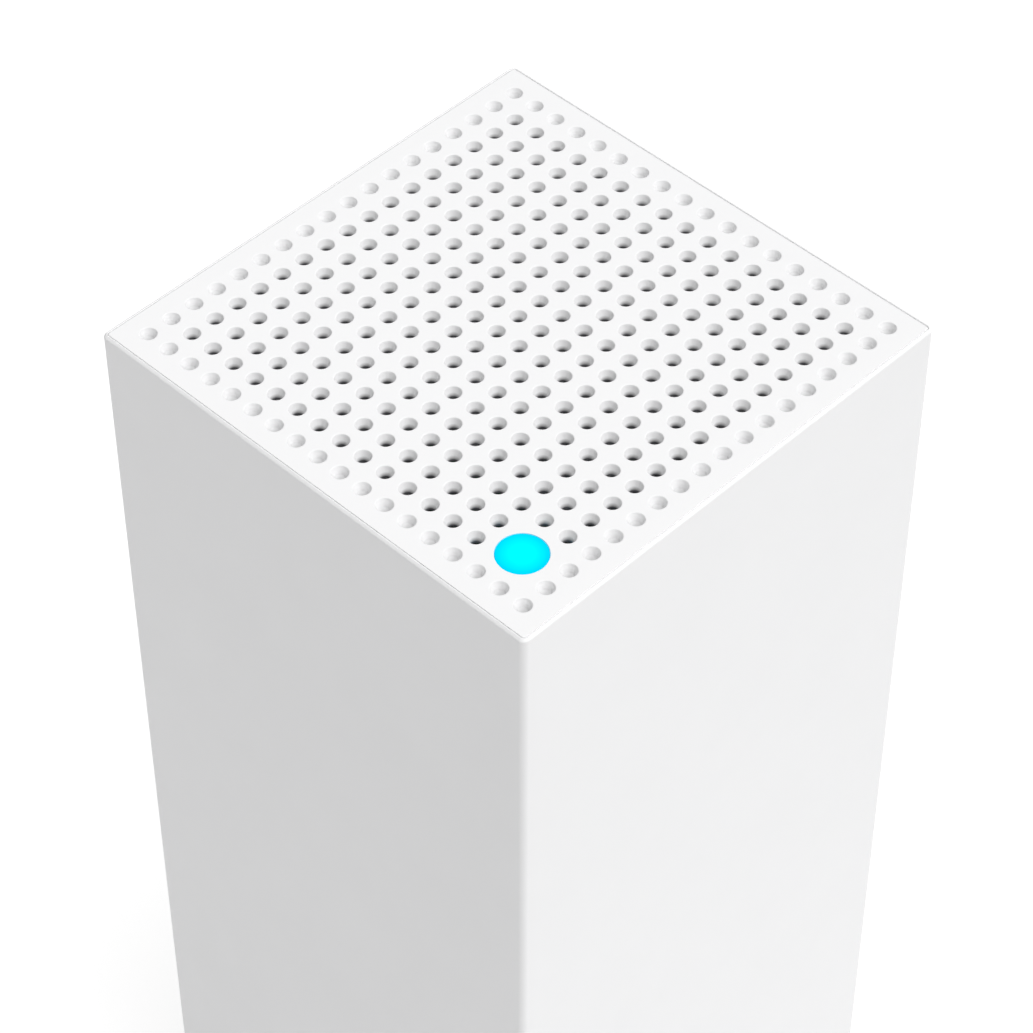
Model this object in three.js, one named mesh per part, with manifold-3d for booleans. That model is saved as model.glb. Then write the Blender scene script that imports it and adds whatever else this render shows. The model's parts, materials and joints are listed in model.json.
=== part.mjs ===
// A tower router for a home wireless network: a square white sleeve with an inset perforated top,
// a round status light in one corner of the top, and every socket in a bay under the base.
// Millimetres, +Z up. The origin is the middle of the footprint, at the level that the feet stand on.
// The status light is in the +X, -Y corner, and the cables leave through the +Y face.

import * as THREE from 'three';
import { mergeVertices } from 'three/addons/utils/BufferGeometryUtils.js';
import Module from 'manifold-3d';

const wasm = await Module();
wasm.setup();

// ---- Driving dimensions -------------------------------------------------------------------------

const WIDTH = 78.7;
const HEIGHT = 185.4;
const WALL = 2.0; // the sleeve's wall
const EDGE_RADIUS = 1.0; // its upright edges
const GAP = 0.3; // between neighbouring pieces

const GRILLE_THICKNESS = 2.0;
const RIM_LIP = 0.6; // the sleeve's rim around the grille
const HOLE_PITCH = 4.1;
const HOLES_PER_SIDE = 18;
const HOLE_RADIUS = 1.15;
const POCKET_DEPTH = 0.9; // the outermost holes are blind
const LENS_RADIUS = 3.5;
const LENS_STEP = 1.5; // the light's centre, in pitches in from the corner hole both ways
const SKIRT_HEIGHT = 3.0; // the grille's skirt, under its plate
const LEG_THICKNESS = 1.2; // the grille's snap legs
const HOOK_ALONG = 8; // from the middle of each side
const HOOK_HALF_WIDTH = 2.5;
const HOOK_REACH = 0.9;
const HOOK_HEIGHT = 2.2;

const FOOT_STAND = 0.8; // the base's height over the table
const FOOT_HALF_WIDTH = 3.4;
const FOOT_HALF_STRAIGHT = 4.4;
const FOOT_TOP = 1.4;
const BASE_FLANGE = 0.8;
const BASE_FLANGE_INSET = 0.95; // from the sleeve's outside
const BASE_PLATE = 2.0;
const BASE_SKIRT_TOP = 12;
const BASE_SKIRT_WALL = 1.6;
const BAY_HALF_WIDTH = 27;
const BAY_FRONT_Y = -14;
const BAY_HEIGHT = 24.4;
const BAY_WALL = 2.0;
const NOTCH_HALF_WIDTH = 13; // the cable exit
const NOTCH_TOP_Z = 14;
const VENT_COUNT = 13; // the air slots in the base plate, ahead of the bay
const VENT_HALF_WIDTH = 0.8;
const VENT_Y = [-26.4, -18.0];
const BOSS_RADIUS = 3.6; // the base's screw bosses
const BOSS_HEIGHT = 3.6;

const BOARD_THICKNESS = 1.6;
const SCREW_RADIUS = 1.2;
const SCREW_HEAD_RADIUS = 2.3;
const SCREW_HEAD_HEIGHT = 1.5;
const COUNTERBORE_MARGIN = 0.5;
const PEG_RADIUS = 0.9;

// The sockets' row and the controls, in the bay's ceiling.
const PORT_WIDTH = 16;
const PORT_DEPTH = 13.5;
const PORT_ROW_Y = -3;
const PORT_CENTRES = [-17.4, 0.2];
const INLET_CENTRE = [17.5, PORT_ROW_Y];
const INLET_HALF = 5;
const INLET_BORE_RADIUS = 3.2;
const INLET_BORE_DEPTH = 9.5;
const INLET_PIN_RADIUS = 1.0;
const ROCKER_CENTRE = [14, 16];
const ROCKER_REACH = 6.7; // from the pivot to the ends
const ROCKER_HALF_WIDTH = 3.5;
const ROCKER_FACE = 2.9; // from the pivot to the housing's face
const ROCKER_WAIST = 2.3; // from the pivot to the middle of the rocker's faces
const ROCKER_TILT_DEGREES = 8; // either way from level
const TRUNNION_RADIUS = 0.8;
const TRUNNION_LENGTH = 0.8;
const SWITCH_HALF_LENGTH = 8.3;
const SWITCH_HALF_WIDTH = 5.0;
const BUTTON_CENTRE = [-17.4, 16];
const BUTTON_RADIUS = 1.9;
const BUTTON_STEM_RADIUS = 1.3;
const BUTTON_RISE = 0.9; // the cap, out of the bay's ceiling
const BUTTON_TRAVEL = 0.6;
const PLUNGER_BOTTOM = 36.9;
const PLUNGER_RADIUS = 1.4;
const PLUNGER_LENGTH = 2.1;
const RESET_SWITCH_HALF = 3;
const RESET_SWITCH_BOTTOM = 38.1;

const HEAT_SINK_BOTTOM = 70;
const HEAT_SINK_HEIGHT = 64;
const HEAT_SINK_BASE_HALF = 25;
const FIN_COUNT = 9;
const FIN_THICKNESS = 1.2;
const FIN_COMB_HALF = 19;
const SHIELD_HALF_WIDTH = 18;
const SHEET_STEEL = 0.5;
const THERMAL_PAD_HALF = 15;
const CHIP_HEIGHT = 1.3;

const LED_BOARD_CENTRE = 27.4;
const LED_BOARD_HALF = 6.5;
const LED_HALF = 1.6;
const GUIDE_CUP_RADII = [2.6, 4.2];

const ANTENNA_HALF_WIDTH = 8;
const ANTENNA_HEIGHT = 50;
const ANTENNA_THICKNESS = 0.8;
const LEAD_RADIUS = 0.6;
const LEAD_PLUG_RADIUS = 1.4;
const RIB_HALF_WIDTH = 5;
const RIB_THICKNESS = 1.5;

// ---- Levels and lines that follow from them -----------------------------------------------------

const HALF = WIDTH / 2;
const INNER_HALF = HALF - WALL;
const BASE_HALF = INNER_HALF - GAP;
const BASE_PLATE_TOP = FOOT_STAND + BASE_PLATE;
const SLEEVE_BOTTOM = FOOT_STAND + BASE_FLANGE + GAP;
const BAY_CEILING = FOOT_STAND + BAY_HEIGHT;
const BAY_BACK_Y = BASE_HALF - BAY_WALL;

const GRID_HALF = ((HOLES_PER_SIDE - 1) * HOLE_PITCH) / 2;
const GRILLE_BOTTOM = HEIGHT - GRILLE_THICKNESS;
const GRILLE_HALF = HALF - RIM_LIP - GAP;
const LIGHT_CENTRE = GRID_HALF - LENS_STEP * HOLE_PITCH;

const DECK_TOP = GRILLE_BOTTOM - 9.4;
const DECK_BOTTOM = DECK_TOP - 2.0;
const POST_CENTRE = 32.1;
const POST_HALF = 2.7;
const CORNERS = [[1, -1], [1, 1], [-1, 1], [-1, -1]];
const POST_PLACES = CORNERS.map(([sx, sy]) => [sx * POST_CENTRE, sy * POST_CENTRE]);
const FOOT_PLACES = [
  { centre: [20, -31.6], turned: false },
  { centre: [-20, -31.6], turned: false },
  { centre: [32.6, 18], turned: true },
  { centre: [-32.6, 18], turned: true },
];
const FRAME_HALF = INNER_HALF - 0.75;
const ANTENNA_SHELF_Z = 112;
const ANTENNA_SHELF_THICKNESS = 3;
const RIB_FACE = 34.0; // where the antenna boards lie against the frame's ribs

const IO_BOARD_HALF_WIDTH = 29;
const IO_BOARD_Y = [-14, 28];
const IO_BOARD_BOTTOM = 42.4;
const IO_BOARD_TOP = IO_BOARD_BOTTOM + BOARD_THICKNESS;
const IO_PART_TOP = IO_BOARD_BOTTOM - GAP;
const IO_FACE = BAY_CEILING + 0.2; // the sockets' mouths, just inside the bay's ceiling
const IO_SHELF_BOTTOM = IO_BOARD_TOP + GAP;
const IO_SHELF_HEIGHT = 5;
const IO_SCREWS = [[27, -11], [-27, 25]];
const ROCKER_PIVOT_Z = BAY_CEILING - GAP + ROCKER_FACE;

const BOARD_FRONT_Y = 1.0;
const BOARD_BACK_Y = BOARD_FRONT_Y + BOARD_THICKNESS;
const BOARD_BOTTOM_Z = 48;
const BOARD_TOP_Z = 150;
const BOARD_HALF_WIDTH = 29;
const TONGUE_HALF_WIDTH = 19.5; // the main board's lower edge, in its connector
const CROSSBAR_LEVELS = [60, 138];
const CROSSBAR_HEIGHT = 6;
const CROSSBAR_THICKNESS = 4;
const SIDE_BAR_INNER = 30.5;
const BOARD_SCREW_X = 26;
const BOARD_SCREWS = [[1, 0], [-1, 0], [1, 1], [-1, 1]].map(([side, level]) => [
  side * BOARD_SCREW_X,
  CROSSBAR_LEVELS[level] + CROSSBAR_HEIGHT / 2,
]);

// What lies on each face of the main board, as heights over that face.
const HEAT_SINK_TOP = HEAT_SINK_BOTTOM + HEAT_SINK_HEIGHT;
const SINK_SCREW_X = 22.3;
const SINK_SCREWS = [[SINK_SCREW_X, HEAT_SINK_BOTTOM + 6], [-SINK_SCREW_X, HEAT_SINK_TOP - 6]];
const SHIELD_LEVELS = [HEAT_SINK_BOTTOM + 8, HEAT_SINK_TOP - 8];
const SHIELD_TOP = GAP + 2.4;
const PAD_BOTTOM = SHIELD_TOP + GAP;
const PAD_TOP = PAD_BOTTOM + 1.0;
const SINK_BASE_BOTTOM = PAD_TOP + GAP;
const SINK_BASE_TOP = SINK_BASE_BOTTOM + 3.0;
const SINK_TOP = 26;

const LED_BOARD_LEVELS = [DECK_TOP + GAP, DECK_TOP + GAP + 1.2];
const LED_TOP = LED_BOARD_LEVELS[1] + GAP + 1.4;
const LED_PEGS = [[31.6, -23], [23, -31.6]];
const LENS_FLANGE_RADIUS = LENS_RADIUS + 0.7;
const LENS_BOTTOM = GRILLE_BOTTOM - GAP - 1.2;
const GUIDE_RADIUS = LENS_RADIUS - 0.4;

const ANTENNA_BOTTOM = ANTENNA_SHELF_Z + ANTENNA_SHELF_THICKNESS + GAP;
const ANTENNA_PEG_HEIGHTS = [ANTENNA_BOTTOM + 12, ANTENNA_BOTTOM + ANTENNA_HEIGHT - 6];
// Each antenna stands inside one side of the sleeve: how far the side is turned from -Y, and where on it.
const ANTENNA_PLACES = [
  { degrees: 0, along: 16 },
  { degrees: 0, along: -16 },
  { degrees: 90, along: 0 },
  { degrees: 180, along: 16 },
  { degrees: 180, along: -16 },
  { degrees: 270, along: 0 },
];
const LEAD_START_Y = RIB_FACE - LEAD_RADIUS - 0.1;
const LEAD_START_Z = ANTENNA_BOTTOM + 9;
const LEAD_END_Z = BOARD_TOP_Z - 3;
const PLUG_HEIGHT = 0.7; // from the end of a lead's middle line down to the board
const PLUG_FRONT_Y = BOARD_FRONT_Y - GAP - PLUG_HEIGHT;
const PLUG_BACK_Y = BOARD_BACK_Y + GAP + PLUG_HEIGHT;

// ---- Materials ----------------------------------------------------------------------------------

const finish = (color, roughness, metalness = 0) => ({ color, roughness, metalness });
const WHITE_PLASTIC = finish(0xf3f3f4, 0.55);
const LIT_PLASTIC = finish(0x00e6ff, 0.25);
const CLEAR_PLASTIC = finish(0xdfe9ee, 0.15);
const FRAME_PLASTIC = finish(0x3b3d40, 0.6);
const BLACK_PLASTIC = finish(0x141416, 0.45);
const RED_PLASTIC = finish(0xb3231f, 0.4);
const GREEN_BOARD = finish(0x14512f, 0.4);
const CHIP_RESIN = finish(0x1c1c1e, 0.55);
const PAD_RUBBER = finish(0x7f8a99, 0.85);
const FOOT_RUBBER = finish(0x8d8f92, 0.9);
const CABLE_JACKET = finish(0x222224, 0.5);
const ALUMINIUM = finish(0xb4b7ba, 0.35, 1);
const SHIELD_STEEL = finish(0xa9abad, 0.3, 1);
const SCREW_STEEL = finish(0x8c8e91, 0.35, 1);
const CONTACT_BRASS = finish(0xc9a14a, 0.3, 1);

// ---- Solids -------------------------------------------------------------------------------------

function solidOf(geometry) {
  geometry.deleteAttribute('normal');
  geometry.deleteAttribute('uv');
  const merged = mergeVertices(geometry, 1e-4);
  return new wasm.Manifold(
    new wasm.Mesh({
      numProp: 3,
      vertProperties: new Float32Array(merged.attributes.position.array),
      triVerts: new Uint32Array(merged.index.array),
    }),
  );
}

function geometryOf(solid) {
  const mesh = solid.getMesh();
  const geometry = new THREE.BufferGeometry();
  geometry.setAttribute('position', new THREE.BufferAttribute(mesh.vertProperties, 3));
  geometry.setIndex(new THREE.BufferAttribute(mesh.triVerts, 1));
  geometry.computeVertexNormals();
  return geometry;
}

const join = (first, ...others) => others.reduce((sum, solid) => sum.add(solid), first);
const cut = (first, ...tools) => tools.reduce((rest, tool) => rest.subtract(tool), first);

function box([x0, x1], [y0, y1], [z0, z1]) {
  const geometry = new THREE.BoxGeometry(x1 - x0, y1 - y0, z1 - z0);
  geometry.translate((x0 + x1) / 2, (y0 + y1) / 2, (z0 + z1) / 2);
  return solidOf(geometry);
}

// An upright prism of an outline in XY.
function prism(outline, [z0, z1], curveSegments = 3) {
  const geometry = new THREE.ExtrudeGeometry(outline, { depth: z1 - z0, bevelEnabled: false, curveSegments });
  geometry.translate(0, 0, z0);
  return solidOf(geometry);
}

function cylinder(radius, [x, y], [z0, z1], sides = 12) {
  const geometry = new THREE.CylinderGeometry(radius, radius, z1 - z0, sides);
  geometry.rotateX(Math.PI / 2);
  geometry.translate(x, y, (z0 + z1) / 2);
  return solidOf(geometry);
}

// A cylinder that lies along Y.
function crossCylinder(radius, [x, z], [y0, y1], sides = 12) {
  const geometry = new THREE.CylinderGeometry(radius, radius, y1 - y0, sides);
  geometry.translate(x, (y0 + y1) / 2, z);
  return solidOf(geometry);
}

function roundedSquare(half, radius) {
  const outline = new THREE.Shape();
  const flat = half - radius;
  outline.absarc(flat, flat, radius, 0, Math.PI / 2);
  outline.absarc(-flat, flat, radius, Math.PI / 2, Math.PI);
  outline.absarc(-flat, -flat, radius, Math.PI, 1.5 * Math.PI);
  outline.absarc(flat, -flat, radius, 1.5 * Math.PI, 2 * Math.PI);
  outline.closePath();
  return outline;
}

const squareBlock = (half, levels) => box([-half, half], [-half, half], levels);
const squareRing = (outer, inner, levels) => cut(
  squareBlock(outer, levels),
  squareBlock(inner, [levels[0] - 1, levels[1] + 1]),
);

// The same solid turned to each of the four sides: it is drawn on the -Y side.
function onEachSide(solid) {
  return [0, 90, 180, 270].map((degrees) => solid.rotate([0, 0, degrees]));
}

// ---- The scene graph ----------------------------------------------------------------------------

const router = new THREE.Group();

function addGroup(parent = router) {
  const group = new THREE.Group();
  parent.add(group);
  return group;
}

function addPiece(parent, name, solid, look, position = [0, 0, 0]) {
  const piece = new THREE.Mesh(geometryOf(solid), new THREE.MeshStandardMaterial(look));
  piece.name = name;
  piece.position.set(...position);
  parent.add(piece);
  return piece;
}

// A pan-head screw with its seat at the origin and its shank up +Z.
function screw(shankLength) {
  const head = cylinder(SCREW_HEAD_RADIUS, [0, 0], [-SCREW_HEAD_HEIGHT, 0], 12);
  const shank = cylinder(SCREW_RADIUS, [0, 0], [-0.5, shankLength], 6);
  const slotLength = 1.3;
  const slotHalfWidth = 0.3;
  const slotDepth = 0.7;
  const slotDepths = [-SCREW_HEAD_HEIGHT - 1, -SCREW_HEAD_HEIGHT + slotDepth];
  const crossSlot = join(
    box([-slotLength, slotLength], [-slotHalfWidth, slotHalfWidth], slotDepths),
    box([-slotHalfWidth, slotHalfWidth], [-slotLength, slotLength], slotDepths),
  );
  return cut(join(head, shank), crossSlot);
}

// ---- Casing -------------------------------------------------------------------------------------

const notchTool = (y0) => box([-NOTCH_HALF_WIDTH, NOTCH_HALF_WIDTH], [y0, HALF + 1], [-1, NOTCH_TOP_Z]);

function sleeve() {
  const ledge = GRILLE_BOTTOM - GAP;
  return cut(
    prism(roundedSquare(HALF, EDGE_RADIUS), [SLEEVE_BOTTOM, HEIGHT]),
    prism(roundedSquare(INNER_HALF, EDGE_RADIUS), [0, HEIGHT + 1]),
    prism(roundedSquare(HALF - RIM_LIP, EDGE_RADIUS - RIM_LIP / 2), [ledge, HEIGHT + 1]),
    notchTool(0),
  );
}

function hexagon(radius, x, y) {
  const outline = new THREE.Path();
  const corners = 6;
  for (let corner = 0; corner < corners; corner += 1) {
    const angle = (corner / corners) * 2 * Math.PI;
    const point = [x + radius * Math.cos(angle), y + radius * Math.sin(angle)];
    if (corner === 0) outline.moveTo(...point);
    else outline.lineTo(...point);
  }
  outline.closePath();
  return outline;
}

// Each hole of the grid: its centre, and whether it is in the outermost ring.
function grilleHoles() {
  const holes = [];
  for (let i = 0; i < HOLES_PER_SIDE; i += 1) {
    for (let j = 0; j < HOLES_PER_SIDE; j += 1) {
      const underLens = Math.hypot(i - LENS_STEP, j - LENS_STEP) < 1;
      const last = HOLES_PER_SIDE - 1;
      const blind = i === 0 || j === 0 || i === last || j === last;
      const centre = [GRID_HALF - j * HOLE_PITCH, -GRID_HALF + i * HOLE_PITCH];
      if (!underLens) holes.push({ centre, blind });
    }
  }
  return holes;
}

function topGrille() {
  const outline = roundedSquare(GRILLE_HALF, EDGE_RADIUS - RIM_LIP / 2);
  const holes = grilleHoles();
  outline.holes = holes.filter((hole) => !hole.blind).map((hole) => hexagon(HOLE_RADIUS, ...hole.centre));
  const lensHoleLevels = [GRILLE_BOTTOM - 1, HEIGHT + 1];
  const lensHole = cylinder(LENS_RADIUS + GAP, [LIGHT_CENTRE, -LIGHT_CENTRE], lensHoleLevels, 20);
  let plate = cut(prism(outline, [GRILLE_BOTTOM, HEIGHT]), lensHole);
  for (const hole of holes.filter((each) => each.blind)) {
    plate = plate.subtract(cylinder(HOLE_RADIUS, hole.centre, [HEIGHT - POCKET_DEPTH, HEIGHT + 1], 6));
  }
  const skirtBottom = GRILLE_BOTTOM - SKIRT_HEIGHT;
  const skirtInner = GRID_HALF - HOLE_RADIUS - 0.5;
  const skirt = squareRing(BASE_HALF, skirtInner, [skirtBottom, GRILLE_BOTTOM]);
  const legFace = skirtInner + 0.2;
  const legBack = legFace + LEG_THICKNESS;
  const hookTop = DECK_BOTTOM - GAP;
  const hookBottom = hookTop - HOOK_HEIGHT;
  const legEdges = [HOOK_ALONG - HOOK_HALF_WIDTH, HOOK_ALONG + HOOK_HALF_WIDTH];
  const leg = join(
    box(legEdges, [-legBack, -legFace], [hookBottom, skirtBottom + 1]),
    box(legEdges, [-legBack - HOOK_REACH, -legBack + 0.2], [hookBottom, hookTop]),
  );
  return join(plate, skirt, ...onEachSide(leg));
}

// The places that the base's ceiling leaves open for sockets: each centre, and half its length and width.
const SOCKET_PLACES = [
  ...PORT_CENTRES.map((x) => [x, PORT_ROW_Y, PORT_WIDTH / 2, PORT_DEPTH / 2]),
  [...INLET_CENTRE, INLET_HALF, INLET_HALF],
  [...ROCKER_CENTRE, SWITCH_HALF_LENGTH, SWITCH_HALF_WIDTH],
];

function airSlots() {
  const slots = [];
  for (let slot = 0; slot < VENT_COUNT; slot += 1) {
    const x = (slot - (VENT_COUNT - 1) / 2) * HOLE_PITCH;
    slots.push(box([x - VENT_HALF_WIDTH, x + VENT_HALF_WIDTH], VENT_Y, [-1, BASE_PLATE_TOP + 1]));
  }
  return slots;
}

// The bottom cover: a flange under the sleeve, a skirt inside it, the socket bay and four screw bosses.
function base() {
  const bayOuter = BAY_HALF_WIDTH + BAY_WALL;
  const bayTop = BAY_CEILING + BAY_WALL;
  const bossTop = FOOT_STAND + BOSS_HEIGHT;
  const screwHoleTop = 10;
  const throughCeiling = [BAY_CEILING - 1, bayTop + 1];
  const footRecess = [FOOT_STAND - 1, FOOT_TOP + GAP];
  const body = join(
    prism(roundedSquare(HALF - BASE_FLANGE_INSET, EDGE_RADIUS), [FOOT_STAND, FOOT_STAND + BASE_FLANGE]),
    squareBlock(BASE_HALF, [FOOT_STAND, BASE_PLATE_TOP]),
    squareRing(BASE_HALF, BASE_HALF - BASE_SKIRT_WALL, [FOOT_STAND, BASE_SKIRT_TOP]),
    box([-bayOuter, bayOuter], [BAY_FRONT_Y - BAY_WALL, BASE_HALF], [FOOT_STAND, bayTop]),
    ...POST_PLACES.map((place) => cylinder(BOSS_RADIUS, place, [FOOT_STAND, bossTop])),
  );
  return cut(
    body,
    box([-BAY_HALF_WIDTH, BAY_HALF_WIDTH], [BAY_FRONT_Y, BAY_BACK_Y], [-1, BAY_CEILING]),
    notchTool(BAY_BACK_Y - 1),
    ...SOCKET_PLACES.map(([x, y, halfX, halfY]) => box(
      [x - halfX - GAP, x + halfX + GAP],
      [y - halfY - GAP, y + halfY + GAP],
      throughCeiling,
    )),
    cylinder(BUTTON_RADIUS + GAP, BUTTON_CENTRE, throughCeiling, 16),
    ...POST_PLACES.map((place) => join(
      cylinder(SCREW_HEAD_RADIUS + COUNTERBORE_MARGIN, place, [-1, BASE_PLATE_TOP], 16),
      cylinder(SCREW_RADIUS + GAP, place, [-1, screwHoleTop], 8),
    )),
    ...FOOT_PLACES.map(({ centre, turned }) => (
      footOutline(turned, FOOT_HALF_WIDTH + GAP, centre, footRecess)
    )),
    ...airSlots(),
  );
}

// ---- Feet ---------------------------------------------------------------------------------------

// A pad with round ends, along X, or along Y when turned.
function footOutline(turned, halfWidth, [x, y], levels) {
  const outline = new THREE.Shape();
  outline.absarc(FOOT_HALF_STRAIGHT, 0, halfWidth, -Math.PI / 2, Math.PI / 2);
  outline.absarc(-FOOT_HALF_STRAIGHT, 0, halfWidth, Math.PI / 2, 1.5 * Math.PI);
  outline.closePath();
  return prism(outline, levels, 6).rotate([0, 0, turned ? 90 : 0]).translate([x, y, 0]);
}

// ---- Sockets and controls, all hung under the socket board and facing down ----------------------

// A modular jack for a network plug, drawn about its own mouth: the mouth is at z = 0 and faces -Z.
function networkPort() {
  const height = IO_PART_TOP - IO_FACE;
  const mouthHalf = 5.9;
  const mouthY = [-3.0, 4.4];
  const mouthDepth = 12.5;
  const latchHalf = 3.1;
  const latchTipHalf = 1.7;
  const shell = box([-PORT_WIDTH / 2, PORT_WIDTH / 2], [-PORT_DEPTH / 2, PORT_DEPTH / 2], [0, height]);
  return cut(
    shell,
    box([-mouthHalf, mouthHalf], mouthY, [-1, mouthDepth]),
    box([-latchHalf, latchHalf], [mouthY[0] - 1.5, mouthY[0] + 1], [-1, mouthDepth]),
    box([-latchTipHalf, latchTipHalf], [mouthY[0] - 2.7, mouthY[0]], [-1, mouthDepth - 4]),
  );
}

function powerInlet() {
  const height = IO_PART_TOP - IO_FACE;
  return cut(
    box([-INLET_HALF, INLET_HALF], [-INLET_HALF, INLET_HALF], [0, height]),
    cylinder(INLET_BORE_RADIUS, [0, 0], [-1, INLET_BORE_DEPTH], 20),
    cylinder(INLET_PIN_RADIUS + GAP, [0, 0], [-1, height - 2], 10),
  );
}

// The rocker, drawn level with its pivot at the origin and its two faces looking down -Z.
function powerRocker() {
  const faceAngle = THREE.MathUtils.degToRad(30);
  const heelAngle = THREE.MathUtils.degToRad(-9);
  const outline = new THREE.Shape();
  outline.moveTo(0, ROCKER_WAIST);
  outline.absarc(0, 0, ROCKER_REACH, faceAngle, heelAngle, true);
  outline.absarc(0, 0, ROCKER_REACH, Math.PI - heelAngle, Math.PI - faceAngle, true);
  outline.closePath();
  const geometry = new THREE.ExtrudeGeometry(outline, {
    depth: 2 * ROCKER_HALF_WIDTH,
    bevelEnabled: false,
    curveSegments: 4,
  });
  geometry.translate(0, 0, -ROCKER_HALF_WIDTH);
  geometry.rotateX(-Math.PI / 2);
  const trunnionEnd = ROCKER_HALF_WIDTH + TRUNNION_LENGTH;
  return join(solidOf(geometry), crossCylinder(TRUNNION_RADIUS, [0, 0], [-trunnionEnd, trunnionEnd]));
}

// The switch housing in the rocker's frame: a well for the rocker, with two sockets for its trunnions.
function switchHousing() {
  const end = SWITCH_HALF_LENGTH;
  const side = SWITCH_HALF_WIDTH;
  const wellHalfLength = ROCKER_REACH + 0.35;
  const wellHalfWidth = ROCKER_HALF_WIDTH + GAP;
  const wellTop = 2.6;
  const socketEnd = ROCKER_HALF_WIDTH + TRUNNION_LENGTH + GAP;
  const top = IO_PART_TOP - ROCKER_PIVOT_Z;
  return cut(
    box([-end, end], [-side, side], [-ROCKER_FACE, top]),
    box([-wellHalfLength, wellHalfLength], [-wellHalfWidth, wellHalfWidth], [-ROCKER_FACE - 1, wellTop]),
    crossCylinder(TRUNNION_RADIUS + 0.25, [0, 0], [-socketEnd, socketEnd]),
  );
}

// The reset button, drawn from the bay's ceiling up: a cap, a stop flange and a stem to the small switch.
function resetButton() {
  const flangeRadius = BUTTON_RADIUS + 1.2;
  const flangeBottom = BAY_WALL + GAP;
  const stemTop = PLUNGER_BOTTOM - GAP - BAY_CEILING;
  return join(
    cylinder(BUTTON_RADIUS, [0, 0], [-BUTTON_RISE, flangeBottom + 0.5], 16),
    cylinder(flangeRadius, [0, 0], [flangeBottom, flangeBottom + 1], 16),
    cylinder(BUTTON_STEM_RADIUS, [0, 0], [flangeBottom, stemTop], 10),
  );
}

function resetSwitch() {
  const plungerRoom = PLUNGER_BOTTOM + PLUNGER_LENGTH + BUTTON_TRAVEL + GAP;
  return cut(
    squareBlock(RESET_SWITCH_HALF, [RESET_SWITCH_BOTTOM, IO_PART_TOP]),
    cylinder(PLUNGER_RADIUS + GAP, [0, 0], [RESET_SWITCH_BOTTOM - 1, plungerRoom], 12),
  );
}

function resetPlunger() {
  return cylinder(PLUNGER_RADIUS, [0, 0], [PLUNGER_BOTTOM, PLUNGER_BOTTOM + PLUNGER_LENGTH], 12);
}

// ---- Boards -------------------------------------------------------------------------------------

function socketBoard() {
  const through = [IO_BOARD_BOTTOM - 1, IO_BOARD_TOP + 1];
  return cut(
    box([-IO_BOARD_HALF_WIDTH, IO_BOARD_HALF_WIDTH], IO_BOARD_Y, [IO_BOARD_BOTTOM, IO_BOARD_TOP]),
    ...IO_SCREWS.map((place) => cylinder(SCREW_RADIUS + GAP, place, through, 8)),
  );
}

function mainBoard() {
  const faces = [BOARD_FRONT_Y, BOARD_BACK_Y];
  const through = [BOARD_FRONT_Y - 1, BOARD_BACK_Y + 1];
  return cut(
    join(
      box([-BOARD_HALF_WIDTH, BOARD_HALF_WIDTH], faces, [BOARD_BOTTOM_Z + 2, BOARD_TOP_Z]),
      box([-TONGUE_HALF_WIDTH, TONGUE_HALF_WIDTH], faces, [BOARD_BOTTOM_Z, BOARD_BOTTOM_Z + 3]),
    ),
    ...[...BOARD_SCREWS, ...SINK_SCREWS].map((place) => crossCylinder(SCREW_RADIUS + GAP, place, through, 8)),
  );
}

// The slot that the main board's lower edge plugs into.
function edgeConnector() {
  const halfLength = TONGUE_HALF_WIDTH + 0.5;
  const wall = 3;
  const bottom = IO_BOARD_TOP + GAP;
  const top = BOARD_BOTTOM_Z + 4;
  return cut(
    box([-halfLength, halfLength], [BOARD_FRONT_Y - wall, BOARD_BACK_Y + wall], [bottom, top]),
    box(
      [-halfLength - 1, halfLength + 1],
      [BOARD_FRONT_Y - GAP, BOARD_BACK_Y + GAP],
      [BOARD_BOTTOM_Z - GAP, top + 1],
    ),
  );
}

// ---- What sits on each face of the main board: chips, shield can, thermal pad and heat sink -----
// It is drawn as a stack that rises along +Y from a board face at y = 0.

const chip = (half) => box([-half, half], [GAP, GAP + CHIP_HEIGHT], [-half, half]);

function shieldCan() {
  const wall = SHEET_STEEL;
  return cut(
    box([-SHIELD_HALF_WIDTH, SHIELD_HALF_WIDTH], [GAP, SHIELD_TOP], SHIELD_LEVELS),
    box(
      [-SHIELD_HALF_WIDTH + wall, SHIELD_HALF_WIDTH - wall],
      [GAP - 1, SHIELD_TOP - wall],
      [SHIELD_LEVELS[0] + wall, SHIELD_LEVELS[1] - wall],
    ),
  );
}

function thermalPad() {
  const inset = 4;
  return box(
    [-THERMAL_PAD_HALF, THERMAL_PAD_HALF],
    [PAD_BOTTOM, PAD_TOP],
    [SHIELD_LEVELS[0] + inset, SHIELD_LEVELS[1] - inset],
  );
}

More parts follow.
